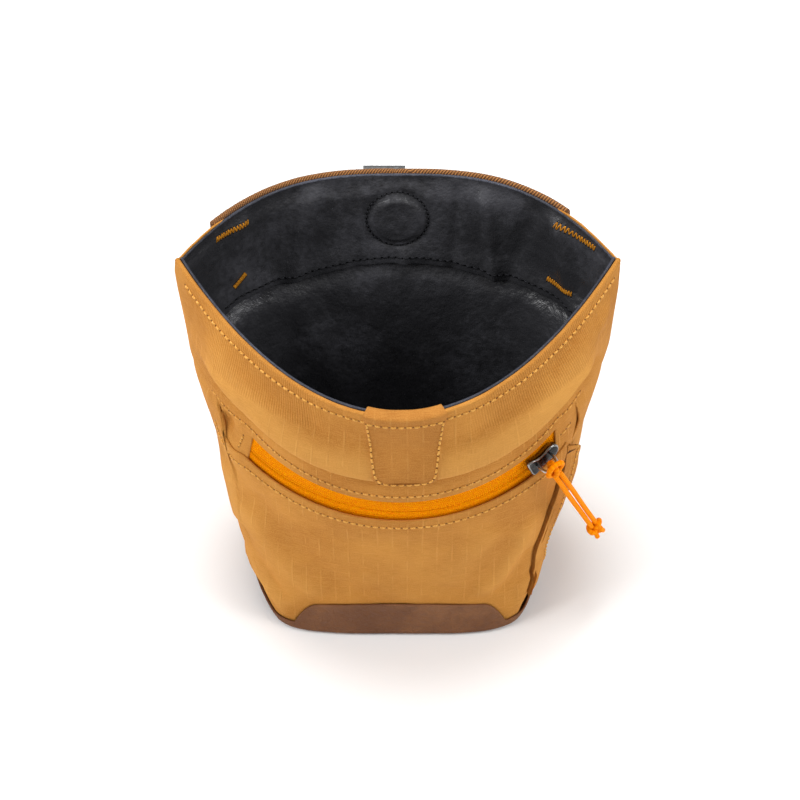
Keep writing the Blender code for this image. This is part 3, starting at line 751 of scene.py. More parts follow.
def fold(x, z, line, height, width, sharp=0.0):
    """A ridge, or with a negative height a hollow, along a line of (x, z) points, which fades at its ends."""
    far, along = near_line(x, z, np.array(line) * MM)
    taper = smoothstep(0.0, FOLD_TAPER, along) * smoothstep(0.0, FOLD_TAPER, 1 - along)
    crisp = np.exp(-(np.sqrt(far**2 + CRISP_ROUND**2) - CRISP_ROUND) / width)
    return height * taper * ((1 - sharp) * hump(far, width) + sharp * crisp)


def with_folds(total, x, z, table, share=1.0):
    """The total and every fold of a table: its line, height, width and, where it has one, its sharpness."""
    for line, height, width, *sharp in table:
        total = total + fold(x, z, line, height * MM, width * MM, *sharp) * share
    return total


# the folds of each wall, in millimetres: a line of (x, z) points, height, width and sharpness
FRONT_FOLDS_LOW = (
    (((-61.5, 33), (-60.0, 25.9), (-54.9, 20.5), (-48.7, 12.5), (-43.5, 2.0)), 1.9, 3.6, 0.7),
    (((-68, 84), (-65, 62), (-60, 42), (-50.5, 24), (-40, 10)), 2.1, 5.6, 0.15),
    (((-60, 68), (-53, 50), (-43, 34), (-30, 19)), 1.4, 5.5, 0.2),
    (((-63, 52), (-57, 38), (-50, 25), (-44, 14)), -1.6, 3.4, 0.1),
    (((-56, 80), (-46, 62), (-32, 46)), -1.1, 7.0, 0.0),
    (((50, 66), (47, 50), (38, 30), (28, 21)), 1.7, 4.6, 0.3),
    (((50, 46), (46, 32), (38, 19)), -1.0, 3.6, 0.0),
    (((51, 24), (48, 13), (44.5, 3.5)), 1.4, 3.4, 0.6),
    (((36, 70), (24, 48), (17, 30)), 0.9, 7.0, 0.0),
    (((-16, 44), (-4, 30), (12, 22)), 0.6, 5.0, 0.0),
    (((-36, 52), (-26, 36), (-14, 22)), -0.7, 5.0, 0.0),
)
FRONT_FOLDS_HIGH = (
    (((-76, 122), (-66, 129), (-50, 134), (-30, 134)), 0.6, 4.0),
    (((77, 146), (70, 133), (58, 124), (40, 117)), 1.2, 3.2),
    (((74, 139), (66, 126), (52, 117)), -1.1, 3.0),
    (((72, 122), (64, 117), (54, 113)), -0.8, 3.4),
    (((-24, 128), (-8, 125), (6, 127)), 0.5, 5.0),
    (((22, 126), (34, 128), (46, 134)), 0.5, 4.0),
)
BACK_FOLDS_LOW = (
    (((-66, 96), (-60, 70), (-46, 42), (-34, 24)), 1.8, 5.0),
    (((-58, 84), (-46, 62), (-30, 46)), -1.3, 4.6),
    (((66, 92), (61, 66), (50, 42), (38, 26)), 1.7, 5.0),
    (((58, 74), (46, 52), (30, 40)), -1.3, 4.6),
    (((-24, 96), (-18, 72), (-22, 50)), 0.8, 7.0),
    (((26, 98), (20, 78), (26, 58)), 0.9, 6.0),
    (((62, 30), (58, 20), (50, 8)), 2.0, 4.2),
    (((-62, 30), (-58, 20), (-50, 8)), 2.0, 4.2),
)
BACK_FOLDS_HIGH = (
    (((-74, 140), (-70, 122), (-66, 104)), 1.2, 3.6),
    (((74, 142), (71, 124), (66, 104)), 1.2, 3.6),
    (((-66, 132), (-62, 118), (-54, 108)), -0.9, 4.0),
    (((67, 134), (62, 118), (54, 108)), -0.9, 4.0),
)


def collar_crease(x):
    """The height of the crease under the collar's stiff band."""
    far = np.abs(x) / MM
    return (110.5 + 0.0048 * far**2 - 0.055 * np.maximum(0.0, far - 60.0) ** 2) * MM


def front_folds(x, z):
    """How far the front wall stands out of the plain skin, from its folds alone."""
    above = z - collar_crease(x)
    near_seam = 1 - smoothstep(0.062, 0.076, np.abs(x))
    collar = 4.2 * MM * smoothstep(-1.6 * MM, 1.8 * MM, above) * (1 - smoothstep(1.0 * MM, 21 * MM, above))
    recess = -1.7 * MM * smoothstep(0.4 * MM, -1.6 * MM, above) * smoothstep(-12 * MM, -3 * MM, above)
    low = 1 - smoothstep(78 * MM, 94 * MM, z)
    total = (collar + recess) * near_seam
    total = total + 1.2 * MM * hump(x - 6 * MM, 40 * MM) * hump(z - 52 * MM, 28 * MM) * low
    total = with_folds(total, x, z, FRONT_FOLDS_LOW, low)
    return with_folds(total, x, z, FRONT_FOLDS_HIGH)


def back_folds(x, z):
    low = 1 - smoothstep(96 * MM, 112 * MM, z)
    total = 0.9 * MM * hump(x, 40 * MM) * hump(z - 60 * MM, 34 * MM) * low
    total = with_folds(total, x, z, BACK_FOLDS_LOW, low)
    return with_folds(total, x, z, BACK_FOLDS_HIGH)


def seam_fade(x, z):
    """1 on a wall, and 0 at its side seams, where the front and the back cloth meet."""
    t = np.clip(z / HEIGHT, 0.0, 1.0)
    half = section(FRONT, t)[0] + side_stretch(x, t)
    return 1 - smoothstep(0.93, 0.995, np.abs(x) / half)


def wall_folds(side, x, z):
    folds = front_folds(x, z) if side == FRONT else back_folds(x, z)
    return folds * seam_fade(x, z) * smoothstep(0.0, 0.012, z)


def ripples(points, size, height, seed):
    """Small irregular unevenness, the same each run, from a few crossed waves."""
    p = points / size
    x, y, z = p[..., 0] + seed, p[..., 1] * 1.3 - seed, p[..., 2]
    value = (np.sin(1.7 * x + 0.9 * z + 2.1 * np.sin(0.8 * z + y))
             + np.sin(2.3 * z - 1.1 * x + 1.7 * np.sin(1.2 * x)))
    value += 0.6 * np.sin(3.9 * x + 2.7 * z + 1.3 * np.sin(2.2 * y + z))
    return height * value / 2.6


# =====================================================================================================
# Pieces of cloth on the walls
# =====================================================================================================


def wall_cloth(name, side, material, left, right, bottom, top, columns, rows, lift=0.0, after=None, edges=(),
               zone=False, inside=False, folds=1.0):
    """A piece of cloth on a wall: lift is its distance out of the skin, a number or a function of x and z."""
    net = wall_net(side, left, right, bottom, top, columns, rows)
    plain, uv = skin(side, *net), cloth_uv(side, *net)
    normals = grid_normals(plain, side)
    x, z = plain[..., 0], plain[..., 2]
    out = lift(x, z) if callable(lift) else lift
    if bottom is canvas_hem:
        out = out - HEM_INSET[side] * smoothstep(boot_top(x) + 0.0002, boot_top(x) - 0.0026, z)
    points = plain + normals * (out + folds * wall_folds(side, x, z))[..., None]
    points = points + normals * (ripples(points, 6.5 * MM, 0.12 * MM, len(name)) * seam_fade(x, z))[..., None]
    if after is not None:
        points = after(points)
    for edge, radius, depth in edges:
        facing = grid_normals(points, side) * (-1 if inside else 1)
        points, uv = fold_edge(points, facing, edge, radius, depth), fold_uv(uv, edge, radius, depth)
    bands = None
    if zone:
        below = HEIGHT + RIM_RISE[side] * (1 - (points[..., 0] / MOUTH_HALF_WIDTH) ** 2) - points[..., 2]
        bands = np.stack([below, np.abs(points[..., 0])], axis=-1)
    # the fold heights, which the canvas turns into painted highlight and painted shade
    relief = wall_folds(side, points[..., 0], points[..., 2])
    relief = None if inside else np.stack([relief, relief], axis=-1)
    return grid_object(name, points, material, uv=uv, zone=bands, relief=relief,
                       flip=inside != (side == BACK))


def on_skin(side, xs, zs):
    """Points and normals of the plain skin under a line of x and z values."""
    xs, zs = np.asarray(xs, float), np.asarray(zs, float)
    t = np.full_like(xs, 0.5)
    for _ in range(SOLVER_STEPS):
        here = skin(side, turn_at(side, xs, t), t)
        t = np.clip(t + (zs - here[:, 2]) / HEIGHT, 0.0, 1.0)
    turn = turn_at(side, xs, t)
    here = skin(side, turn, t)
    ahead = skin(side, turn + 0.01, t) - skin(side, turn - 0.01, t)
    upward = skin(side, turn, np.minimum(1.0, t + 0.01)) - skin(side, turn, np.maximum(0.0, t - 0.01))
    return here, unit(np.cross(upward, ahead) * -side)


def drawn_on(obj, points, normals, inside=False):
    """The points moved onto a piece's surface, and the surface's normals there."""
    shape = editable(obj.data)
    tree = BVHTree.FromBMesh(shape)
    shape.free()
    found, facing, reach = [], [], 0.009
    for point, normal in zip(points, normals):
        away = Vector(normal) * (-1 if inside else 1)
        start = Vector(point) + away * reach
        hit, out, _, _ = tree.ray_cast(start, -away, 2.6 * reach)
        if hit is None:
            hit, out, _, _ = tree.find_nearest(Vector(point))
        if out.dot(away) < 0:
            out = -out
        found.append(hit)
        facing.append(out)
    found, facing = np.array(found), np.array(facing)
    kernel = np.ones(5) / 5
    padded = np.concatenate([facing[:1]] * 2 + [facing] + [facing[-1:]] * 2)
    facing = np.stack([np.convolve(padded[:, i], kernel, "valid") for i in range(3)], axis=1)
    return found, unit(facing)


def sewn(name, obj, side, xs, zs, thread="thread", hole_shade="hole_shade", inside=False, layer=0.0, **settings):
    """A row of stitches along a line of x and z values, on the surface of a piece."""
    points, normals = on_skin(side, xs, zs)
    line = resampled(points, 0.0006)
    share = np.linspace(0.0, 1.0, len(line))
    given = distances(points)
    out = np.stack([np.interp(share * given[-1], given, normals[:, i]) for i in range(3)], axis=1)
    found, facing = drawn_on(obj, line, out, inside)
    row = stitch_row(name, found, facing, MATERIALS[thread], MATERIALS[hole_shade], **settings)
    return bend_with(row)


def zip_edge(up):
    """The height z at x of a line along the zip, up across its band from the middle."""
    line = zip_point(np.linspace(-70.0, 70.0, 281), up, 0.0)
    return lambda x: np.interp(x, line[:, 0], line[:, 2])


ZIP_OPEN_TOP, ZIP_OPEN_BOTTOM = 0.0064, -0.0062
ZIP_END = 0.0575


def yoke_bottom(x):
    """The yoke's lower edge: the top of the zip's slot, then on up to the side seams."""
    far = np.abs(x)
    rise = zip_edge(ZIP_OPEN_TOP)
    beyond = rise(ZIP_END) + (far - ZIP_END) * 0.72 - np.maximum(0.0, far - 0.066) * 0.72
    return np.where(far < ZIP_END, rise(x), beyond)


def pocket_top(x):
    """The pocket panel's upper edge: the foot of the zip's slot, with a steep slit edge at its left end."""
    rise = zip_edge(ZIP_OPEN_BOTTOM)
    ease = np.interp(x, (-0.0670, -0.0664, -0.0659, -0.0654, -0.0641, -0.0615, -ZIP_END),
                     (0.1180, 0.1125, 0.1045, 0.0990, 0.0972, 0.0952, rise(-ZIP_END)))
    return np.where(x < -ZIP_END, ease, rise(x))


def boot_top(x):
    """The scalloped edge where the canvas meets the boot: low at the corners, high between them."""
    far = np.abs(x) / MM
    face = 19.0 - 2.9 * (far / 30.0) ** 2 - 0.12 * np.maximum(0.0, far - 33.0) ** 2
    low = 3.6 + 13.5 * smoothstep(0.83, 1.0, far / 59.0)
    return np.maximum(face, low) * MM


HEM_INSET = {FRONT: 0.0020, BACK: 0.0032}


def canvas_hem(x):
    """The canvas goes on a little way down behind the boot's edge."""
    return np.maximum(boot_top(x) - 0.0040, 0.0012)


# =====================================================================================================
# The outer cloth
# =====================================================================================================

RIGHT_SLIT = ((0.0630, 0.0900), (0.0643, 0.0950), (0.0658, 0.0978), (0.0666, 0.1017), (0.0662, 0.1068),
              (0.0652, 0.1145),
              (0.0652, 0.1300))
GAP_LINE = ((0.0465, 0.0), (0.0503, 0.018), (0.0513, 0.027), (0.0513, 0.036), (0.0520, 0.042),
            (0.0534, 0.0504),
            (0.0556, 0.0611), (0.0575, 0.0683), (0.0591, 0.0762), (0.0602, 0.0829), (0.0606, 0.0912),
            (0.0612, 0.160))
YOKE_RISE, GARAGE_RISE, POCKET_RISE = 0.0012, 0.0004, 0.0015
FLAP_SLOPE = 0.0080


def line_x(line):
    """The x of a line of (x, z) points, as a function of the height share."""
    xs, zs = np.array(line).T
    return lambda t: np.interp(np.asarray(t) * HEIGHT, zs, xs)


def dense_at(spots, count):
    """Shares from 0 to 1 that crowd together at the spots."""
    s = np.linspace(0.0, 1.0, 4001)
    density = 1 + sum(7.0 * hump(s - spot, 0.020) for spot in spots)
    run = np.cumsum(density)
    return np.interp(np.linspace(run[0], run[-1], count + 1), run, s)


def build_yoke():
    cloth = wall_cloth("yoke_canvas", FRONT, MATERIALS["collar"], -SEAM, SEAM, yoke_bottom, None, 190, 100,
                       lift=0.0003, after=lambda p: lay_on_zip(p, YOKE_RISE),
                       edges=(("top", 0.0009, 0.006), ("bottom", 0.00030, 0.0035)), zone=True)
    return bend_with(dress(cloth, "tan_cloth", "front_collar", "collar_left", "collar_right", "front_stay"))


def pocket_lift(x, z):
    """The pocket's cloth bows out a little along its lip, and dips under the yoke beside the slit."""
    lip = hump(z - pocket_top(x), 0.010) * (1 - smoothstep(0.050, 0.060, np.abs(x)))
    under = smoothstep(0.0655, 0.0690, -x) * smoothstep(0.108, 0.116, z)
    return 0.0003 * lip - 0.0009 * under


def lean_slit(points):
    """The top of the left slit's lip leans in over the zip's end."""
    x, z = points[..., 0], points[..., 2]
    along = unit(np.cross(np.array((0.0, 0.0, 1.0)), grid_normals(points, FRONT)))
    lean = 3.6 * MM * smoothstep(0.1000, 0.1100, z)
    lean = lean * smoothstep(-0.0760, -0.0672, x) * smoothstep(-0.060, -0.064, x)
    return points + along * lean[..., None]


def build_pocket():
    right = lambda t: line_x(GAP_LINE)(t) + 0.0001
    top = lambda x: np.where(x < -0.0668, yoke_bottom(x) + 0.004, pocket_top(x))
    cloth = wall_cloth("pocket_canvas", FRONT, MATERIALS["canvas"], -SEAM, right, canvas_hem, top,
                       dense_at((0.10,), 170), 84, lift=pocket_lift,
                       after=lambda p: lean_slit(lay_on_zip(p, POCKET_RISE)),
                       edges=(("top", 0.00045, 0.003), ("right", 0.00045, 0.0006)))
    return bend_with(dress(cloth, "tan_cloth", "pocket_panel", "side_panel_left", "pocket_back_left",
                           "pocket_back_right", "front_panel"))


def right_lift(x, z):
    """The side's cloth dips under the yoke, and under the pocket's edge."""
    dip = 0.0016 * smoothstep(0.090, 0.086, z) * smoothstep(0.012, 0.0, x - line_x(GAP_LINE)(z / HEIGHT))
    return 0.0006 - 0.0013 * smoothstep(0.108, 0.116, z) - dip


def right_edge(t):
    """The side cloth's left edge: under the pocket, then along the slit over it."""
    return np.where(np.asarray(t) * HEIGHT < 0.0900, line_x(GAP_LINE)(t) - 0.0050, line_x(RIGHT_SLIT)(t))


def build_right_side():
    cloth = wall_cloth("side_canvas_right", FRONT, MATERIALS["canvas"], right_edge, SEAM, canvas_hem,
                       lambda x: yoke_bottom(x) + 0.004, 40, 110,
                       lift=right_lift, edges=(("left", 0.00045, 0.003),))
    bend_with(dress(cloth, "tan_cloth", "side_panel_right"))

    # the flap: its lower part lies on the side, and its upper corner stands straight off it. Its root runs
    # in under its edge to the side's cloth, so that nothing shows through between them
    rows, columns, wide = 110, 16, 0.0088
    heights = np.linspace(0.012, 0.0948, rows + 1)
    start, normal = on_skin(FRONT, line_x(GAP_LINE)(heights / HEIGHT) + 0.0006, heights)
    start = start + normal * front_folds(start[:, 0], start[:, 2])[:, None]
    points = []
    for i, z in enumerate(heights):
        loose = smoothstep(0.030, 0.090, z)
        reach = wide * (0.62 + 0.38 * smoothstep(0.020, 0.085, z))
        across = np.linspace(0.0, reach, columns + 1)
        on_side, out = on_skin(FRONT, start[i, 0] + across * (0.80 - 0.10 * across / reach),
                               np.full(columns + 1, z))
        flat = unit(np.cross(np.array((0.0, 0.0, 1.0)), normal[i]))
        straight = start[i] + across[:, None] * (flat * 1.00 + normal[i] * 0.02)
        rise = z - FLAP_SLOPE * across / wide * smoothstep(0.055, 0.0948, z)
        row = on_side * (1 - loose) + straight * loose
        row[:, 2] = rise
        face = row + out * 0.0014 + normal[i] * 0.0003
        root = start[i] + normal[i] * np.array((-0.0016, -0.0004, 0.0007, 0.0014))[:, None]
        root += flat * np.array((0.0017, 0.0014, 0.0009, 0.0003))[:, None]
        root[:, 2] = rise[0]
        points.append(np.vstack((root, face)))
    points = np.array(points)
    points = points + grid_normals(points, FRONT) * ripples(points, 5 * MM, 0.12 * MM, 4.0)[..., None]
    uv = grid_uv(points, reference=0)
    for edge, radius, depth in (("left", 0.00045, 0.003), ("right", 0.00045, 0.002), ("top", 0.0004, 0.003)):
        points = fold_edge(points, grid_normals(points, FRONT), edge, radius, depth)
        uv = fold_uv(uv, edge, radius, depth)
    flap = grid_object("side_flap_right", points, MATERIALS["canvas"], uv=uv)
    return bend_with(dress(flap, "tan_cloth", "side_panel_right"))


def build_garages():
    """The strips of cloth that cover the zip's ends."""
    made = {}
    for side, left, right, edge, foot in (
        ("left", -0.0720, lambda t: -0.0570 + 0.11 * (np.asarray(t) * HEIGHT - 0.0935), "right",
         lambda x: pocket_top(x) - 0.006),
        ("right", lambda t: 0.0575 + 0.0 * np.asarray(t), 0.0710, "left",
         lambda x: pocket_top(-np.abs(x)) - 0.010),
    ):
        cloth = wall_cloth(f"garage_{side}", FRONT, MATERIALS["canvas"], left, right, foot,
                           lambda x: yoke_bottom(x) + 0.004,
                           40, 50, lift=lambda x, z: (-0.0006 - 0.0034 * hump(x + 0.0640, 0.0022)
                                                      * hump(z - 0.1060, 0.0055)),
                           after=lambda p: lay_on_zip(p, GARAGE_RISE + 0.0004),
                           edges=((edge, 0.0004, 0.002),))
        dress(cloth, "tan_cloth", f"zip_end_{side}")
        made[side] = bend_with(cloth)
    return made


def build_back():
    top = lambda x: rim_height(BACK, x, 0.0006 + 0.0026 * smoothstep(0.0670, 0.0560, np.abs(x + 0.0035)))
    cloth = wall_cloth("back_canvas", BACK, MATERIALS["canvas"], -SEAM, SEAM, canvas_hem, top,
                       150, 100, edges=(("top", 0.00035, 0.003),))
    bend_with(dress(cloth, "tan_cloth", "back_panel"))
    return cloth


def build_boot():
    """The coated boot: one loop of cloth round the foot, and the base under it."""
    loops = []
    for side in (FRONT, BACK):
        grid = wall_grid(side, -SEAM, SEAM, 0.0012, boot_top, 120, 14)
        x, z = grid[..., 0], grid[..., 2]
        normals = grid_normals(grid, side)
        grid = grid + normals * (0.0010 + wall_folds(side, x, z))[..., None]
        grid = grid + normals * (ripples(grid, 9 * MM, 0.16 * MM, 3.0) * seam_fade(x, z))[..., None]
        facing = grid_normals(grid, side)
        grid = fold_edge(grid, facing, "top", 0.0004, 0.003)
        loops.append(grid if side == FRONT else grid[:, ::-1])
    ring = np.concatenate([loops[0], loops[1][:, 1:-1]], axis=1)
    seam = 0.5 * (loops[0][:, -1] + loops[1][:, 0])
    ring[:, loops[0].shape[1] - 1] = seam
    ring[:, 0] = 0.5 * (loops[0][:, 0] + loops[1][:, -1])
    centre = ring[0].mean(axis=0)
    under = []
    for inset, height in ((0.0030, 0.0001), (0.0012, 0.0005)):
        away = ring[0] - centre
        away[:, 2] = 0
        row = ring[0] - away / np.linalg.norm(away, axis=1, keepdims=True) * inset
        row[:, 2] = height
        under.append(row)
    ring = np.concatenate([np.array(under), ring], axis=0)
    closed = np.concatenate([ring, ring[:, :1]], axis=1)
    boot = grid_object("boot_coated", closed, MATERIALS["boot"], uv=grid_uv(closed, reference=60))
    shape = editable(boot.data)
    bmesh.ops.remove_doubles(shape, verts=shape.verts, dist=1e-6)
    shape.to_mesh(boot.data)
    shape.free()
    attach(dress(boot, "brown_coated", "boot_band"), "root")

    rows = [centre * (1, 1, 0) + (ring[0] - centre) * (share, share, 0)
            + (0, 0, 0.0001 + 0.0004 * (1 - share))
            for share in (0.02, 0.25, 0.5, 0.75, 0.95, 1.0)]
    disc = np.array(rows)
    disc = np.concatenate([disc, disc[:, :1]], axis=1)
    base = grid_object("base_coated", disc, MATERIALS["boot"], uv=disc[..., :2], flip=True)
    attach(dress(base, "brown_coated", "base_panel"), "root")


# =====================================================================================================
# The inside
# =====================================================================================================

FACING_LIFT, LINING_LIFT = -0.0030, {FRONT: -0.0058, BACK: -0.0040}
BACK_RIM_DROP, BACK_RIM_OUT = 0.0016, 0.0016
LEDGE, TUCK = {FRONT: 0.0026, BACK: 0.0010}, {FRONT: 0.0012, BACK: 0.0018}
SEAM_HEIGHT = {FRONT: 0.1165, BACK: 0.1165}
MAGNET = {FRONT: (0.0, 0.1300), BACK: (-0.0010, 0.1355)}
MAGNET_RING, MAGNET_DISC = 0.0120, 0.0090
PIPING_RADIUS = 0.00062


def facing_foot(side):
    return lambda x: SEAM_HEIGHT[side] - 0.0055 * smoothstep(0.0, 0.045, np.abs(x))


def facing_lift(side):
    """The facing swells over the magnet, dimples along its stitched ring, and wrinkles elsewhere."""
    cx, cz = MAGNET[side]

    def lift(x, z):
        far = np.hypot(x - cx, z - cz)
        magnet = 0.0013 * (1 - smoothstep(MAGNET_DISC - 0.0005, MAGNET_DISC + 0.0016, far))
        magnet = magnet - 0.0005 * hump(far - MAGNET_RING, 0.0014)
        soft = smoothstep(0.010, 0.022, far)
        ledge = LEDGE[side] * (1 - smoothstep(0.002, 0.012, z - facing_foot(side)(x)))
        wrinkle = 0.0
        for k in range(9):
            middle = -0.068 + 0.017 * k + 0.004 * math.sin(5.1 * k + side)
            lean = 0.25 * math.sin(2.7 * k + 1.0 + side)
            high = math.sin(3.3 * k + 0.4 * side)
            size = 0.0023 if high > 0 else 0.0011
            width = 0.0030 + 0.0010 * math.sin(k)
            wrinkle = wrinkle + size * high * hump(x - middle - lean * (z - 0.13), width)
        lip = BACK_RIM_OUT * smoothstep(0.1440, 0.1530, z) if side == BACK else 0.0
        return FACING_LIFT + lip - magnet - ledge - wrinkle * soft * smoothstep(0.1535, 0.146, z)

    return lift


def lining_lift(side):
    def lift(x, z):
        folds = 0.0
        for k in range(8):
            middle = -0.062 + 0.0178 * k + 0.005 * math.sin(4.3 * k + side)
            lean = 0.35 * math.sin(1.9 * k + side)
            folds = folds + 0.0021 * math.sin(2.9 * k + side) * hump(x - middle - lean * (z - 0.06), 0.0060)
        inward = 0.0040 * hump(z - 0.062, 0.045)
        under = TUCK[side] * smoothstep(-0.008, -0.001, z - facing_foot(side)(x))
        return (LINING_LIFT[side] + under
                - (folds + inward) * smoothstep(0.0, 0.030, z) * smoothstep(0.116, 0.100, z))

    return lift


def build_inside():
    facings = {}
    for side, word in ((FRONT, "front"), (BACK, "back")):
        drop = BACK_RIM_DROP if side == BACK else 0.0
        facing = wall_cloth(f"{word}_facing_cloth", side, MATERIALS["lining"], -SEAM, SEAM,
                            lambda x: facing_foot(side)(x) - 0.0005,
                            lambda x: rim_height(side, x, drop), 170, 60, lift=facing_lift(side),
                            folds=0.35, inside=True,
                            edges=(("bottom", 0.0004, 0.003),))
        bend_with(dress(facing, "black_lining", f"{word}_facing", f"{word}_magnet", f"{word}_magnet_cover",
                        "facing_left", "facing_right", *(("back_stay",) if side == BACK else ())))
        facings[side] = facing
        piping = wall_grid(side, -SEAM, SEAM, lambda x: rim_height(side, x, 0.0040),
                           lambda x: rim_height(side, x, drop), 170, 4)
        normals = grid_normals(piping, side)
        rim, out = piping[-1], normals[-1]
        upward = unit(piping[-1] - piping[-2])
        fold_out = wall_folds(side, rim[:, 0], rim[:, 2])[:, None]
        away = FACING_LIFT + 0.0006 + fold_out * 0.8 + (BACK_RIM_OUT if side == BACK else 0.0)
        centre = rim + out * away - upward * 0.0001
        profile = []
        for k in range(9):
            turn = math.radians(-60 + 300 * k / 8)
            profile.append(centre + (upward * math.sin(turn) - out * math.cos(turn)) * PIPING_RADIUS)
        lip = grid_object(f"{word}_lining_edge", np.array(profile), MATERIALS["piping"], flip=side == FRONT)
        bend_with(dress(lip, "black_lining", f"{word}_facing"))

        lining = wall_cloth(f"{word}_lining_cloth", side, MATERIALS["lining"], -SEAM, SEAM, 0.0040,
                            lambda x: facing_foot(side)(x) + 0.004, 120, 70, lift=lining_lift(side),
                            folds=0.0, inside=True)
        bend_with(dress(lining, "black_lining", f"{word}_lining", "side_lining_left", "side_lining_right",
                        *(("front_lining_left", "front_lining_right") if side == FRONT else ())))
    turns = np.linspace(0.0, 2 * math.pi, 97)
    rim = np.array([skin(FRONT if a <= math.pi else BACK, a if a <= math.pi else 2 * math.pi - a,
                         0.035) for a in turns])
    middle = rim.mean(axis=0)
    rows = []
    for share, high in ((0.02, 0.0042), (0.3, 0.0044), (0.6, 0.0042), (0.82, 0.0044), (0.92, 0.0060),
                        (0.95, 0.0085)):
        row = middle + (rim - middle) * share
        row[:, 2] = high + 0.0004 * np.sin(6 * turns + 9 * share) * share
        rows.append(row)
    disc = np.array(rows)
    floor = grid_object("base_lining_cloth", disc, MATERIALS["lining"], uv=disc[..., :2], flip=False)
    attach(dress(floor, "black_lining", "base_lining"), "root")
    return facings


# =====================================================================================================
# The band, the tab and the zip
# =====================================================================================================

BAND_LEFT, BAND_RIGHT, BAND_THICK, BAND_BOTTOM = -0.0685, 0.0615, 0.0018, 0.1125
TAB_TOP, TAB_WAIST, TAB_FOOT, TAB_X = 0.0139, 0.0110, 0.1114, 0.0017


def build_band():
    """The woven band across the back: a thick strip with rounded edges, a little higher than the rim."""
    grid = wall_grid(BACK, BAND_LEFT, BAND_RIGHT, BAND_BOTTOM, lambda x: rim_height(BACK, x, 0.0022), 110, 30)
    normals = grid_normals(grid, BACK)
    x, z = grid[..., 0], grid[..., 2]
    face = grid + normals * (wall_folds(BACK, x, z) + 0.0004 + BAND_THICK)[..., None]
    face = face + normals * ripples(face, 11 * MM, 0.10 * MM, 2.0)[..., None]
    upward = unit(face[-1] - face[-3])
    face[-1] += upward * 0.0009
    face[-2] += upward * 0.0006
    face = fold_edge(face, grid_normals(face, BACK), "top", BAND_THICK * 0.62, 0.004, steps=6)
    face = fold_edge(face, grid_normals(face, BACK), "bottom", BAND_THICK / 2, 0.001, steps=6)
    face = fold_edge(face, grid_normals(face, BACK), "left", BAND_THICK / 2.2, 0.001)
    face = fold_edge(face, grid_normals(face, BACK), "right", BAND_THICK / 2.2, 0.001)
    band = grid_object("back_webbing", face, MATERIALS["webbing"], flip=True)
    return bend_with(dress(band, "brown_webbing", "back_band", "back_band_left", "back_band_right"))


def build_tab():
    """The pull tab: a strip folded over the rim, narrowed at its foot, with cut corners."""
    rows, columns = 60, 26
    grid = wall_grid(FRONT, TAB_X - TAB_TOP, TAB_X + TAB_TOP, TAB_FOOT, None, columns, rows)
    s = np.linspace(0.0, 1.0, rows + 1)
    half = TAB_WAIST + (TAB_TOP - TAB_WAIST) * smoothstep(0.15, 1.0, s)
    half = half - 0.0030 * np.maximum(0.0, 1 - s / 0.075)
    points = []
    for i in range(rows + 1):
        xs = TAB_X + np.linspace(-half[i], half[i], columns + 1)
        row, out = on_skin(FRONT, xs, np.interp(xs, grid[i][:, 0], grid[i][:, 2]))
        lift = (0.0003 + 0.0007 + front_folds(row[:, 0], row[:, 2])
                + ripples(row, 6.5 * MM, 0.10 * MM, len("yoke_canvas")))
        bow = 0.00025 * (1 - ((xs - TAB_X) / half[i]) ** 6)
        points.append(row + out * (lift + bow)[:, None])
    face = np.array(points)
    normals = grid_normals(face, FRONT)
    last, out = face[-1], normals[-1]
    upward = unit(face[-1] - face[-3])
    radius = 0.0025
    centre = last - out * radius
    over = [centre + out * radius * math.cos(a) + upward * radius * 0.46 * math.sin(a)
            for a in np.linspace(0.0, math.pi, 11)[1:]]
    inner = centre - out * radius
    over += [inner - upward * d - out * 0.0001 for d in (0.0015, 0.0030, 0.0045, 0.0056)]
    face = np.concatenate([face, np.array(over)], axis=0)
    face = fold_edge(face, grid_normals(face, FRONT), "bottom", 0.0003, 0.002)
    for edge in ("left", "right"):
        face = fold_edge(face, grid_normals(face, FRONT), edge, 0.0003, 0.0006, steps=3)
    tab = grid_object("pull_tab_cloth", face, MATERIALS["tab"])
    return bend_with(dress(tab, "tan_cloth", "pull_tab"))


ZIP_SPAN = (-50.0, 50.0)
SPLIT_UP = -0.0018


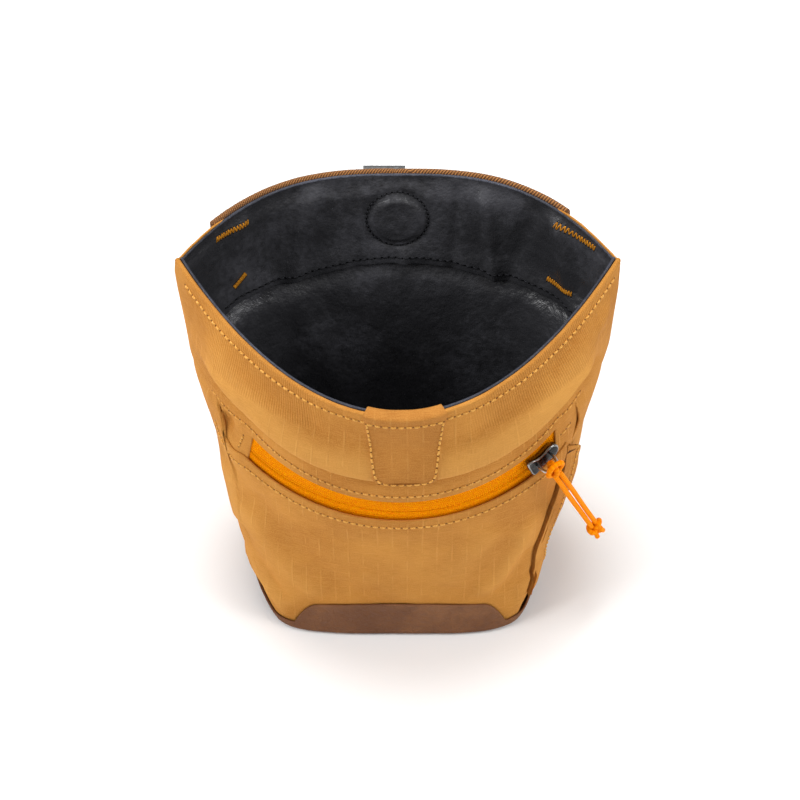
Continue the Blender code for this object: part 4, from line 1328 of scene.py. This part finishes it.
def build_zip():
    """Both tapes, which roll down into a groove where they meet, over the edges of the closed coil."""
    for word, start, end in (("upper", SPLIT_UP + 0.00008, 0.0078), ("lower", -0.0078, SPLIT_UP - 0.00008)):
        degrees = np.linspace(*ZIP_SPAN, 401)
        ups = np.linspace(start, end, 19)
        grid = []
        for up in ups:
            far = abs(up - SPLIT_UP)
            groove = -0.00045 * math.exp(-((far / 0.00030) ** 2)) + 0.00018 * hump(far - 0.0012, 0.0010)
            wave = 0.00006 * np.sin(np.radians(degrees) * ZIP_RADIUS / 0.0011 * 2 * math.pi)
            wave = wave * hump(far - 0.0009, 0.0009)
            slack = 0.00030 * np.sin(degrees * 0.11) * hump(up, 0.006)
            grid.append(zip_point(degrees, up, groove + wave + slack))
        tape = grid_object(f"zip_tape_{word}_knit", np.array(grid), MATERIALS["tape"])
        bend_with(dress(tape, "orange_zip", f"zip_tape_{word}", f"zip_coil_{word}"))
    coil = []
    for turn in np.linspace(0.0, 2 * math.pi, 7)[:-1]:
        degrees = np.linspace(ZIP_SPAN[0] + 1, ZIP_SPAN[1] - 1, 241)
        coil.append(zip_point(degrees, SPLIT_UP + 0.0006 * math.cos(turn), -0.0010 + 0.0005 * math.sin(turn)))
    coil = np.array(coil + coil[:1])
    teeth = grid_object("zip_coil_chain", coil, MATERIALS["tape"], flip=True)
    bend_with(dress(teeth, "orange_zip", "zip_coil_upper", "zip_coil_lower"))
    staple = [zip_point(-48.3, SPLIT_UP + 0.0012 * math.cos(a),
                        -0.0002 + 0.0005 * math.sin(a)) for a in np.linspace(0.0, math.pi, 13)]
    stop = tube_mesh("zip_stop_staple", np.array(staple), 0.00028, MATERIALS["steel"], sides=8)
    bend_with(dress(stop, "steel", "zip_stop_left"))


# =====================================================================================================
# The slider, its bail and the cord
# =====================================================================================================

BAIL_WIRE, BAIL_HEIGHT = 0.0012, 0.0062
CORD_DIAMETER, CORD_DROP = 0.0020, 0.0500
ALONG, UP, OUT = zip_directions(SLIDER_ANGLE)
SLIDER_TOP = 0.0022


def solid_from_outline(name, outline, low, high, material, bevel, segments):
    """A plate over an outline of (along, up) points in the slider's frame, rounded, and bent to the arc."""
    shape = bmesh.new()
    place = lambda a, u, h: Vector(zip_point(SLIDER_ANGLE + math.degrees(a / ZIP_RADIUS), u, h))
    rings = []
    for height in (low, high):
        rings.append([shape.verts.new(place(a, u, height)) for a, u in outline])
    shape.faces.new(rings[0][::-1])
    shape.faces.new(rings[1])
    count = len(outline)
    for i in range(count):
        shape.faces.new((rings[0][i], rings[0][(i + 1) % count], rings[1][(i + 1) % count], rings[1][i]))
    bmesh.ops.recalc_face_normals(shape, faces=shape.faces)
    rim = [e for e in shape.edges if all(v in rings[1] for v in e.verts)]
    # the bevel's faces take the second material, the lighter gunmetal that paints highlight along the slider's
    # edges
    bmesh.ops.bevel(shape, geom=rim, offset=bevel, segments=segments, profile=0.5, affect="EDGES", material=1)
    bmesh.ops.triangulate(shape, faces=[f for f in shape.faces if len(f.verts) > 8])
    mesh = mesh_of(name, shape, material, MATERIALS["bevel_highlight"])
    mesh.shade_smooth()
    mesh.set_sharp_from_angle(angle=math.radians(50))
    return linked(name, mesh)


SLIDER_OUTLINE = ((7.1, 0.0), (6.8, 1.4), (5.9, 2.6), (4.6, 3.2), (3.0, 3.2), (1.4, 2.8), (-0.2, 2.6),
                  (-1.8, 2.9),
                  (-3.2, 3.6), (-4.4, 4.1), (-5.6, 4.2), (-6.2, 3.8), (-6.5, 2.4), (-6.5, 0.8))


def teardrop(scale=1.0):
    """The slider's outline: a broad squared end towards the closed zip, a waist, and a rounded nose."""
    half = [(a * MM * scale, u * MM * scale) for a, u in SLIDER_OUTLINE]
    return half + [(a, -u) for a, u in half[:0:-1]]


def tube_mesh(name, path, radius, material, sides=14, closed=False):
    """A round tube along a path, with its way round and along as cloth coordinates."""
    path = np.asarray(path, float)
    tangents = np.gradient(path, axis=0)
    if closed:
        tangents = np.roll(path, -1, axis=0) - np.roll(path, 1, axis=0)
    tangents /= np.linalg.norm(tangents, axis=1, keepdims=True)
    reference = np.array(OUT)
    side = np.cross(tangents[0], reference)
    if np.linalg.norm(side) < 0.2:
        side = np.cross(tangents[0], np.array(UP))
    side /= np.linalg.norm(side)
    rings, lengths, turns = [], distances(path), np.linspace(0.0, 2 * math.pi, sides + 1)
    for point, along in zip(path, tangents):
        side = unit(side - along * (side @ along))
        other = np.cross(along, side)
        rings.append(point + np.outer(np.cos(turns), side) * radius + np.outer(np.sin(turns), other) * radius)
    grid = np.array(rings)
    if closed:
        grid = np.concatenate([grid, grid[:1]], axis=0)
        lengths = np.concatenate([lengths, [lengths[-1] + np.linalg.norm(path[0] - path[-1])]])
    share = np.broadcast_to(np.linspace(0.0, 1.0, sides + 1), grid.shape[:2])
    uv = np.stack([share, np.broadcast_to(lengths[:, None], grid.shape[:2])], axis=-1)
    tube = grid_object(name, grid, material, uv=uv)
    shape = editable(tube.data)
    bmesh.ops.remove_doubles(shape, verts=shape.verts, dist=1e-7)
    if not closed:
        bmesh.ops.holes_fill(shape, edges=[e for e in shape.edges if e.is_boundary], sides=0)
    bmesh.ops.recalc_face_normals(shape, faces=shape.faces)
    for face in shape.faces:
        face.smooth = True
    shape.to_mesh(tube.data)
    shape.free()
    return tube


def smooth_route(points, spacing):
    """The points of a Catmull-Rom curve through the given ones, evenly spaced."""
    points = [Vector(p) for p in points]
    padded = [2 * points[0] - points[1], *points, 2 * points[-1] - points[-2]]
    line = []
    for a, b, c, d in zip(padded, padded[1:], padded[2:], padded[3:]):
        for i in range(24):
            t = i / 24
            line.append(0.5 * (2 * b + (c - a) * t + (2 * a - 5 * b + 4 * c - d) * t**2
                               + (3 * b - a - 3 * c + d) * t**3))
    return resampled(np.array(line + [points[-1]]), spacing)


def bail_frame():
    foot = Vector(zip_point(SLIDER_ANGLE, 0.0, 0.0026))
    bar = foot + OUT * (BAIL_HEIGHT - BAIL_WIRE / 2)
    return foot, bar


def build_slider():
    narrow = [(a * 0.35 + 0.0022, u * 0.22) for a, u in teardrop()]
    for name, outline, low, high, bevel, segments in (
        ("plate", teardrop(), 0.0007, SLIDER_TOP + 0.0006, 0.0006, 3),
        ("sole", teardrop(0.97), -0.0016, -0.0007, 0.0003, 2),
        ("neck", narrow, -0.0009, 0.0009, 0.0002, 2),
    ):
        part = solid_from_outline(f"slider_{name}", outline, low, high, MATERIALS["gunmetal"], bevel,
                                  segments)
        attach(dress(part, "gunmetal", "slider_body"), "zip_slider")
    foot, _ = bail_frame()
    path = []
    for k in range(29):
        share = k / 28 * 2 - 1
        high = BAIL_HEIGHT * (1 - abs(share) ** 3.2)
        path.append(foot + ALONG * (0.0034 * math.sin(share * math.pi / 2)) + OUT * (high - BAIL_WIRE / 2))
    bail = tube_mesh("slider_bail_wire", resampled(np.array(path), 0.0005), BAIL_WIRE / 2, MATERIALS["steel"])
    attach(dress(bail, "steel", "slider_bail"), "zip_slider")


def build_cords():
    """The cord is looped through the bail: two strands hang from the hitch and meet in a knot."""
    _, bar = bail_frame()
    along, up, out = ALONG, UP, OUT
    reach = BAIL_WIRE / 2 + 0.0003 + 0.0010 + 0.0001
    top = bar - up * (reach + 0.0013)
    knot_at = top - up * 0.0522 - out * 0.0022
    pieces = []
    for word, sign in (("left", -1), ("right", 1)):
        route = smooth_route((
            top + along * sign * 0.00115,
            top - up * 0.006 + along * sign * 0.00112 + out * 0.0003,
            top - up * 0.020 + along * sign * 0.00120 - out * 0.0008,
            top - up * 0.036 + along * sign * 0.00108 - out * 0.0018,
            top - up * 0.050 + along * sign * 0.00112 - out * 0.0022,
        ), 0.0014)
        strand = tube_mesh(f"cord_strand_{word}", route, CORD_DIAMETER / 2, MATERIALS["cord"], sides=16)
        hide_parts(f"pull_cord_{word}")
        pieces.append((strand, route))
    ring = []
    for k in range(44):
        turn = 2 * math.pi * k / 44
        lean = 0.0009 * math.sin(turn)
        ring.append(bar + out * math.cos(turn) * 0.0023 + up * math.sin(turn) * 0.0025 + along * lean)
    hitch = tube_mesh("cord_hitch_loop", ring, 0.0010, MATERIALS["cord"], closed=True)
    bight = smooth_route((
        top + along * 0.00115 + up * 0.0004, top + along * 0.0034 + up * 0.0024 + out * 0.0006,
        top + along * 0.0032 + up * 0.0056 + out * 0.0016, top + along * 0.0003 + up * 0.0071 + out * 0.0018,
        top - along * 0.0024 + up * 0.0056 + out * 0.0016, top - along * 0.0029 + up * 0.0026 + out * 0.0006,
        top - along * 0.00115 + up * 0.0004,
    ), 0.0005)
    loop = tube_mesh("cord_hitch_bight", bight, 0.0010, MATERIALS["cord"])
    knots = []
    trefoil = []
    for k in range(120):
        t = 2 * math.pi * k / 120
        a = (math.sin(t) + 1.7 * math.sin(2 * t)) * 0.00098
        b = (math.cos(t) - 1.7 * math.cos(2 * t)) * 0.00098
        c = -math.sin(3 * t) * 0.00115
        trefoil.append(knot_at + along * a * 1.15 + up * b * 1.15 + out * c)
    knots.append(tube_mesh("cord_knot", trefoil, 0.00105, MATERIALS["cord"], closed=True))
    for word, sign in (("left", -1), ("right", 1)):
        tail = smooth_route((
            knot_at + along * sign * 0.0006 - up * 0.0010,
            knot_at + along * sign * 0.0011 - up * 0.0034 + out * 0.0002 * sign,
            knot_at + along * sign * 0.0017 - up * 0.0062 - out * 0.0003 * sign,
        ), 0.0006)
        knots.append(tube_mesh(f"cord_tail_{word}", tail, 0.00095, MATERIALS["cord"]))
    for piece, node in ((hitch, "cord_hitch"), (loop, "cord_hitch"), *((k, "pull_knot") for k in knots)):
        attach(dress(piece, "orange_cord", node), "pull_cord")
    for strand, _ in pieces:
        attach(dress(strand, "orange_cord"), "pull_cord")


# =====================================================================================================
# Stitches
# =====================================================================================================


def dense_line(xs, zs, count=90):
    """More points along a line of x and z values."""
    xs, zs = np.asarray(xs, float), np.asarray(zs, float)
    run = np.concatenate([[0.0], np.cumsum(np.hypot(np.diff(xs), np.diff(zs)))])
    wanted = np.linspace(0.0, run[-1], count)
    return np.interp(wanted, run, xs), np.interp(wanted, run, zs)


def rim_height(side, x, below=0.0):
    return HEIGHT + RIM_RISE[side] * (1 - (x / MOUTH_HALF_WIDTH) ** 2) - below


def zigzag(xs, zs, width, count):
    """A zigzag along a line of x and z values, as a bar tack is sewn."""
    share = np.linspace(0.0, 1.0, count)
    given = np.linspace(0.0, 1.0, len(xs))
    x, z = np.interp(share, given, xs), np.interp(share, given, zs)
    dx, dz = np.gradient(x), np.gradient(z)
    long = np.hypot(dx, dz)
    offset = width / 2 * np.where(np.arange(count) % 2, 1.0, -1.0)
    return x - dz / long * offset, z + dx / long * offset


def bartack(name, obj, side, xs, zs, thread, width=0.0016, count=30, slot="tan_cloth", inside=False,
            hole_shade="hole_shade"):
    x, z = zigzag(xs, zs, width, count)
    points, normals = on_skin(side, x, z)
    found, facing = drawn_on(obj, points, normals, inside)
    row = stitch_row(name, found, facing, MATERIALS[thread], MATERIALS[hole_shade], pitch=None, radius=0.00030,
                     fill=0.98)
    return dress(bend_with(row), slot)


def build_stitches(yoke, pocket, back, tab, flap, garages, facings, band):
    wide = np.linspace(-0.0775, 0.0775, 121)
    dress(sewn("stitch_rim_front", yoke, FRONT, wide, rim_height(FRONT, wide, 0.0034)))
    dress(sewn("stitch_rim_back", back, BACK, wide, rim_height(BACK, wide, 0.0050)))

    # the yoke's topstitching, which turns down round the slits at both ends
    rise = zip_edge(ZIP_OPEN_TOP + 0.0034)
    middle = np.linspace(-0.0570, 0.0580, 91)
    left = [(-0.0690, 0.1000), (-0.0676, 0.1085), (-0.0646, 0.1158)]
    right = [(0.0664, 0.1184), (0.0637, 0.1165), (0.0607, 0.1147)]
    xs = np.concatenate([[p[0] for p in left], middle, [p[0] for p in right[::-1]]])
    zs = np.concatenate([[p[1] for p in left], rise(middle), [p[1] for p in right[::-1]]])
    dress(sewn("stitch_yoke", yoke, FRONT, xs, zs))

    drop = zip_edge(ZIP_OPEN_BOTTOM - 0.0040)
    middle = np.linspace(-0.0560, 0.0570, 91)
    xs = np.concatenate([[-0.0690, -0.0682, -0.0650, -0.0600], middle])
    zs = np.concatenate([[0.0990, 0.0938, 0.0918, 0.0903], drop(middle)])
    dress(sewn("stitch_pocket", pocket, FRONT, xs, zs))

    # the tab, the flap, and the short rows beside the zip's ends
    inset = 0.0009
    waist, top = TAB_WAIST - inset, TAB_TOP - inset
    foot = TAB_FOOT + inset
    xs = TAB_X + np.array((-top, -waist - 0.0011, -waist, -waist + 0.0030, waist - 0.0030, waist,
                           waist + 0.0011, top))
    zs = np.array((0.1446, 0.1230, foot + 0.0028, foot, foot, foot + 0.0028, 0.1230, 0.1446))
    dress(sewn("stitch_tab", tab, FRONT, *dense_line(xs, zs)))
    wide = np.linspace(TAB_X - TAB_TOP + 0.0006, TAB_X + TAB_TOP - 0.0006, 30)
    dress(sewn("stitch_tab_rim", tab, FRONT, wide, rim_height(FRONT, wide, 0.0034)))
    heights = np.linspace(0.024, 0.0905, 60)
    dress(sewn("stitch_flap", flap, FRONT, line_x(GAP_LINE)(heights / HEIGHT) + 0.0046, heights))
    bartack("bartack_flap", flap, FRONT, (0.0622, 0.0652), (0.0912, 0.0890), "dark_thread", width=0.0034,
            count=12)
    dress(sewn("stitch_garage_left", garages["left"], FRONT,
               *dense_line((-0.0583, -0.0598), (0.1062, 0.0985))))
    dress(sewn("stitch_garage_right", garages["right"], FRONT,
               *dense_line((0.0592, 0.0632), (0.1045, 0.1052))))

    # the lining: the seam under the facing, the ring round each magnet, and the gold bar tacks
    for side, word in ((FRONT, "front"), (BACK, "back")):
        wide = np.linspace(-0.070, 0.070, 101)
        # black painted shade in the needle's pits on the lining
        dark = {"thread": "black_thread", "hole_shade": "black_hole_shade", "inside": True}
        dress(sewn(f"stitch_facing_{word}", facings[side], side, wide, facing_foot(side)(wide) + 0.0022,
                   **dark), "black_lining")
        cx, cz = MAGNET[side]
        turns = np.linspace(0.0, 2 * math.pi, 61)
        dress(sewn(f"stitch_magnet_{word}", facings[side], side, cx + MAGNET_RING * np.cos(turns),
                   cz + MAGNET_RING * np.sin(turns), pitch=0.0021, radius=0.00042, **dark), "black_lining")
    for name, xs, zs in (
        ("left_upper", (-0.0585, -0.0650, -0.0700), (0.1465, 0.1468, 0.1474)),
        ("left_lower", (-0.0610, -0.0660), (0.1222, 0.1196)),
        ("right_upper", (0.0600, 0.0680, 0.0735), (0.1484, 0.1484, 0.1495)),
        ("right_lower", (0.0585, 0.0640, 0.0690), (0.1187, 0.1187, 0.1200)),
    ):
        bartack(f"bartack_{name}", facings[BACK], BACK, xs, zs, "gold", width=0.0026, count=26,
                slot="black_lining", inside=True, hole_shade="black_hole_shade")

    # the back: the band's edges
    for word, high in (("top", 0.0026), ("foot", None)):
        wide = np.linspace(BAND_LEFT + 0.002, BAND_RIGHT - 0.002, 121)
        level = rim_height(BACK, wide, high) if high else np.full_like(wide, BAND_BOTTOM + 0.0022)
        dress(sewn(f"stitch_band_{word}", band, BACK, wide, level, layer=BAND_LAYER), "brown_webbing")
    for word, x in (("left", BAND_LEFT + 0.0022), ("right", BAND_RIGHT - 0.0022)):
        tall = np.linspace(BAND_BOTTOM + 0.003, 0.1515, 40)
        dress(sewn(f"stitch_band_{word}", band, BACK, np.full_like(tall, x), tall, layer=BAND_LAYER),
              "brown_webbing")


def build_floor():
    material = Shader("studio_white", specular_ior_level=0.0)
    place = material.noise(material.place(), 3.0)
    paint = material.finish(material.mix(place, (0.90, 0.90, 0.90, 1.0), (0.93, 0.93, 0.93, 1.0)), 0.95)
    shape = bmesh.new()
    down = Matrix.Translation((0, 0, -FLOOR_DROP))
    bmesh.ops.create_grid(shape, x_segments=8, y_segments=8, size=FLOOR_HALF, matrix=down)
    linked("floor", mesh_of("floor", shape, paint))


def build_lights():
    world = bpy.data.worlds.new("studio")
    world.use_nodes = True
    background = world.node_tree.nodes["Background"].inputs
    background["Color"].default_value = (1.0, 1.0, 1.0, 1.0)
    background["Strength"].default_value = WORLD_STRENGTH
    bpy.context.scene.world = world
    for name, place, size, power in LIGHTS:
        data = bpy.data.lights.new(name, "AREA")
        data.shape, data.size, data.energy = "DISK", size, power
        light = linked(name, data)
        light.location = place
        light.rotation_euler = (Vector(LIGHTS_AIM) - Vector(place)).to_track_quat("-Z", "Y").to_euler()


CARRIED_OVER = {"clip_plate": "dark_steel", "clip_tongue": "dark_steel", "clip_rivet_upper": "gunmetal",
                "clip_rivet_lower": "gunmetal", "base_board": "board"}


def dress_cad():
    """CAD nodes whose shape is right keep it, with soft edges and a worked material."""
    for node, material in CARRIED_OVER.items():
        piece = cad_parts[node]
        for slot in piece.material_slots:
            slot.material = MATERIALS[material]
        if not piece.material_slots:
            piece.data.materials.append(MATERIALS[material])
        if node.startswith("clip"):
            bevel = piece.modifiers.new("soft_edges", "BEVEL")
            bevel.width, bevel.segments, bevel.limit_method = 0.00025, 3, "ANGLE"


def main():
    bpy.context.scene.view_settings.view_transform = "Standard"
    build_camera()
    build_cords()
    yoke = build_yoke()
    pocket = build_pocket()
    flap = build_right_side()
    garages = build_garages()
    back = build_back()
    build_boot()
    facings = build_inside()
    band = build_band()
    tab = build_tab()
    build_zip()
    build_slider()
    build_stitches(yoke, pocket, back, tab, flap, garages, facings, band)
    dress_cad()
    build_floor()
    build_lights()


main()
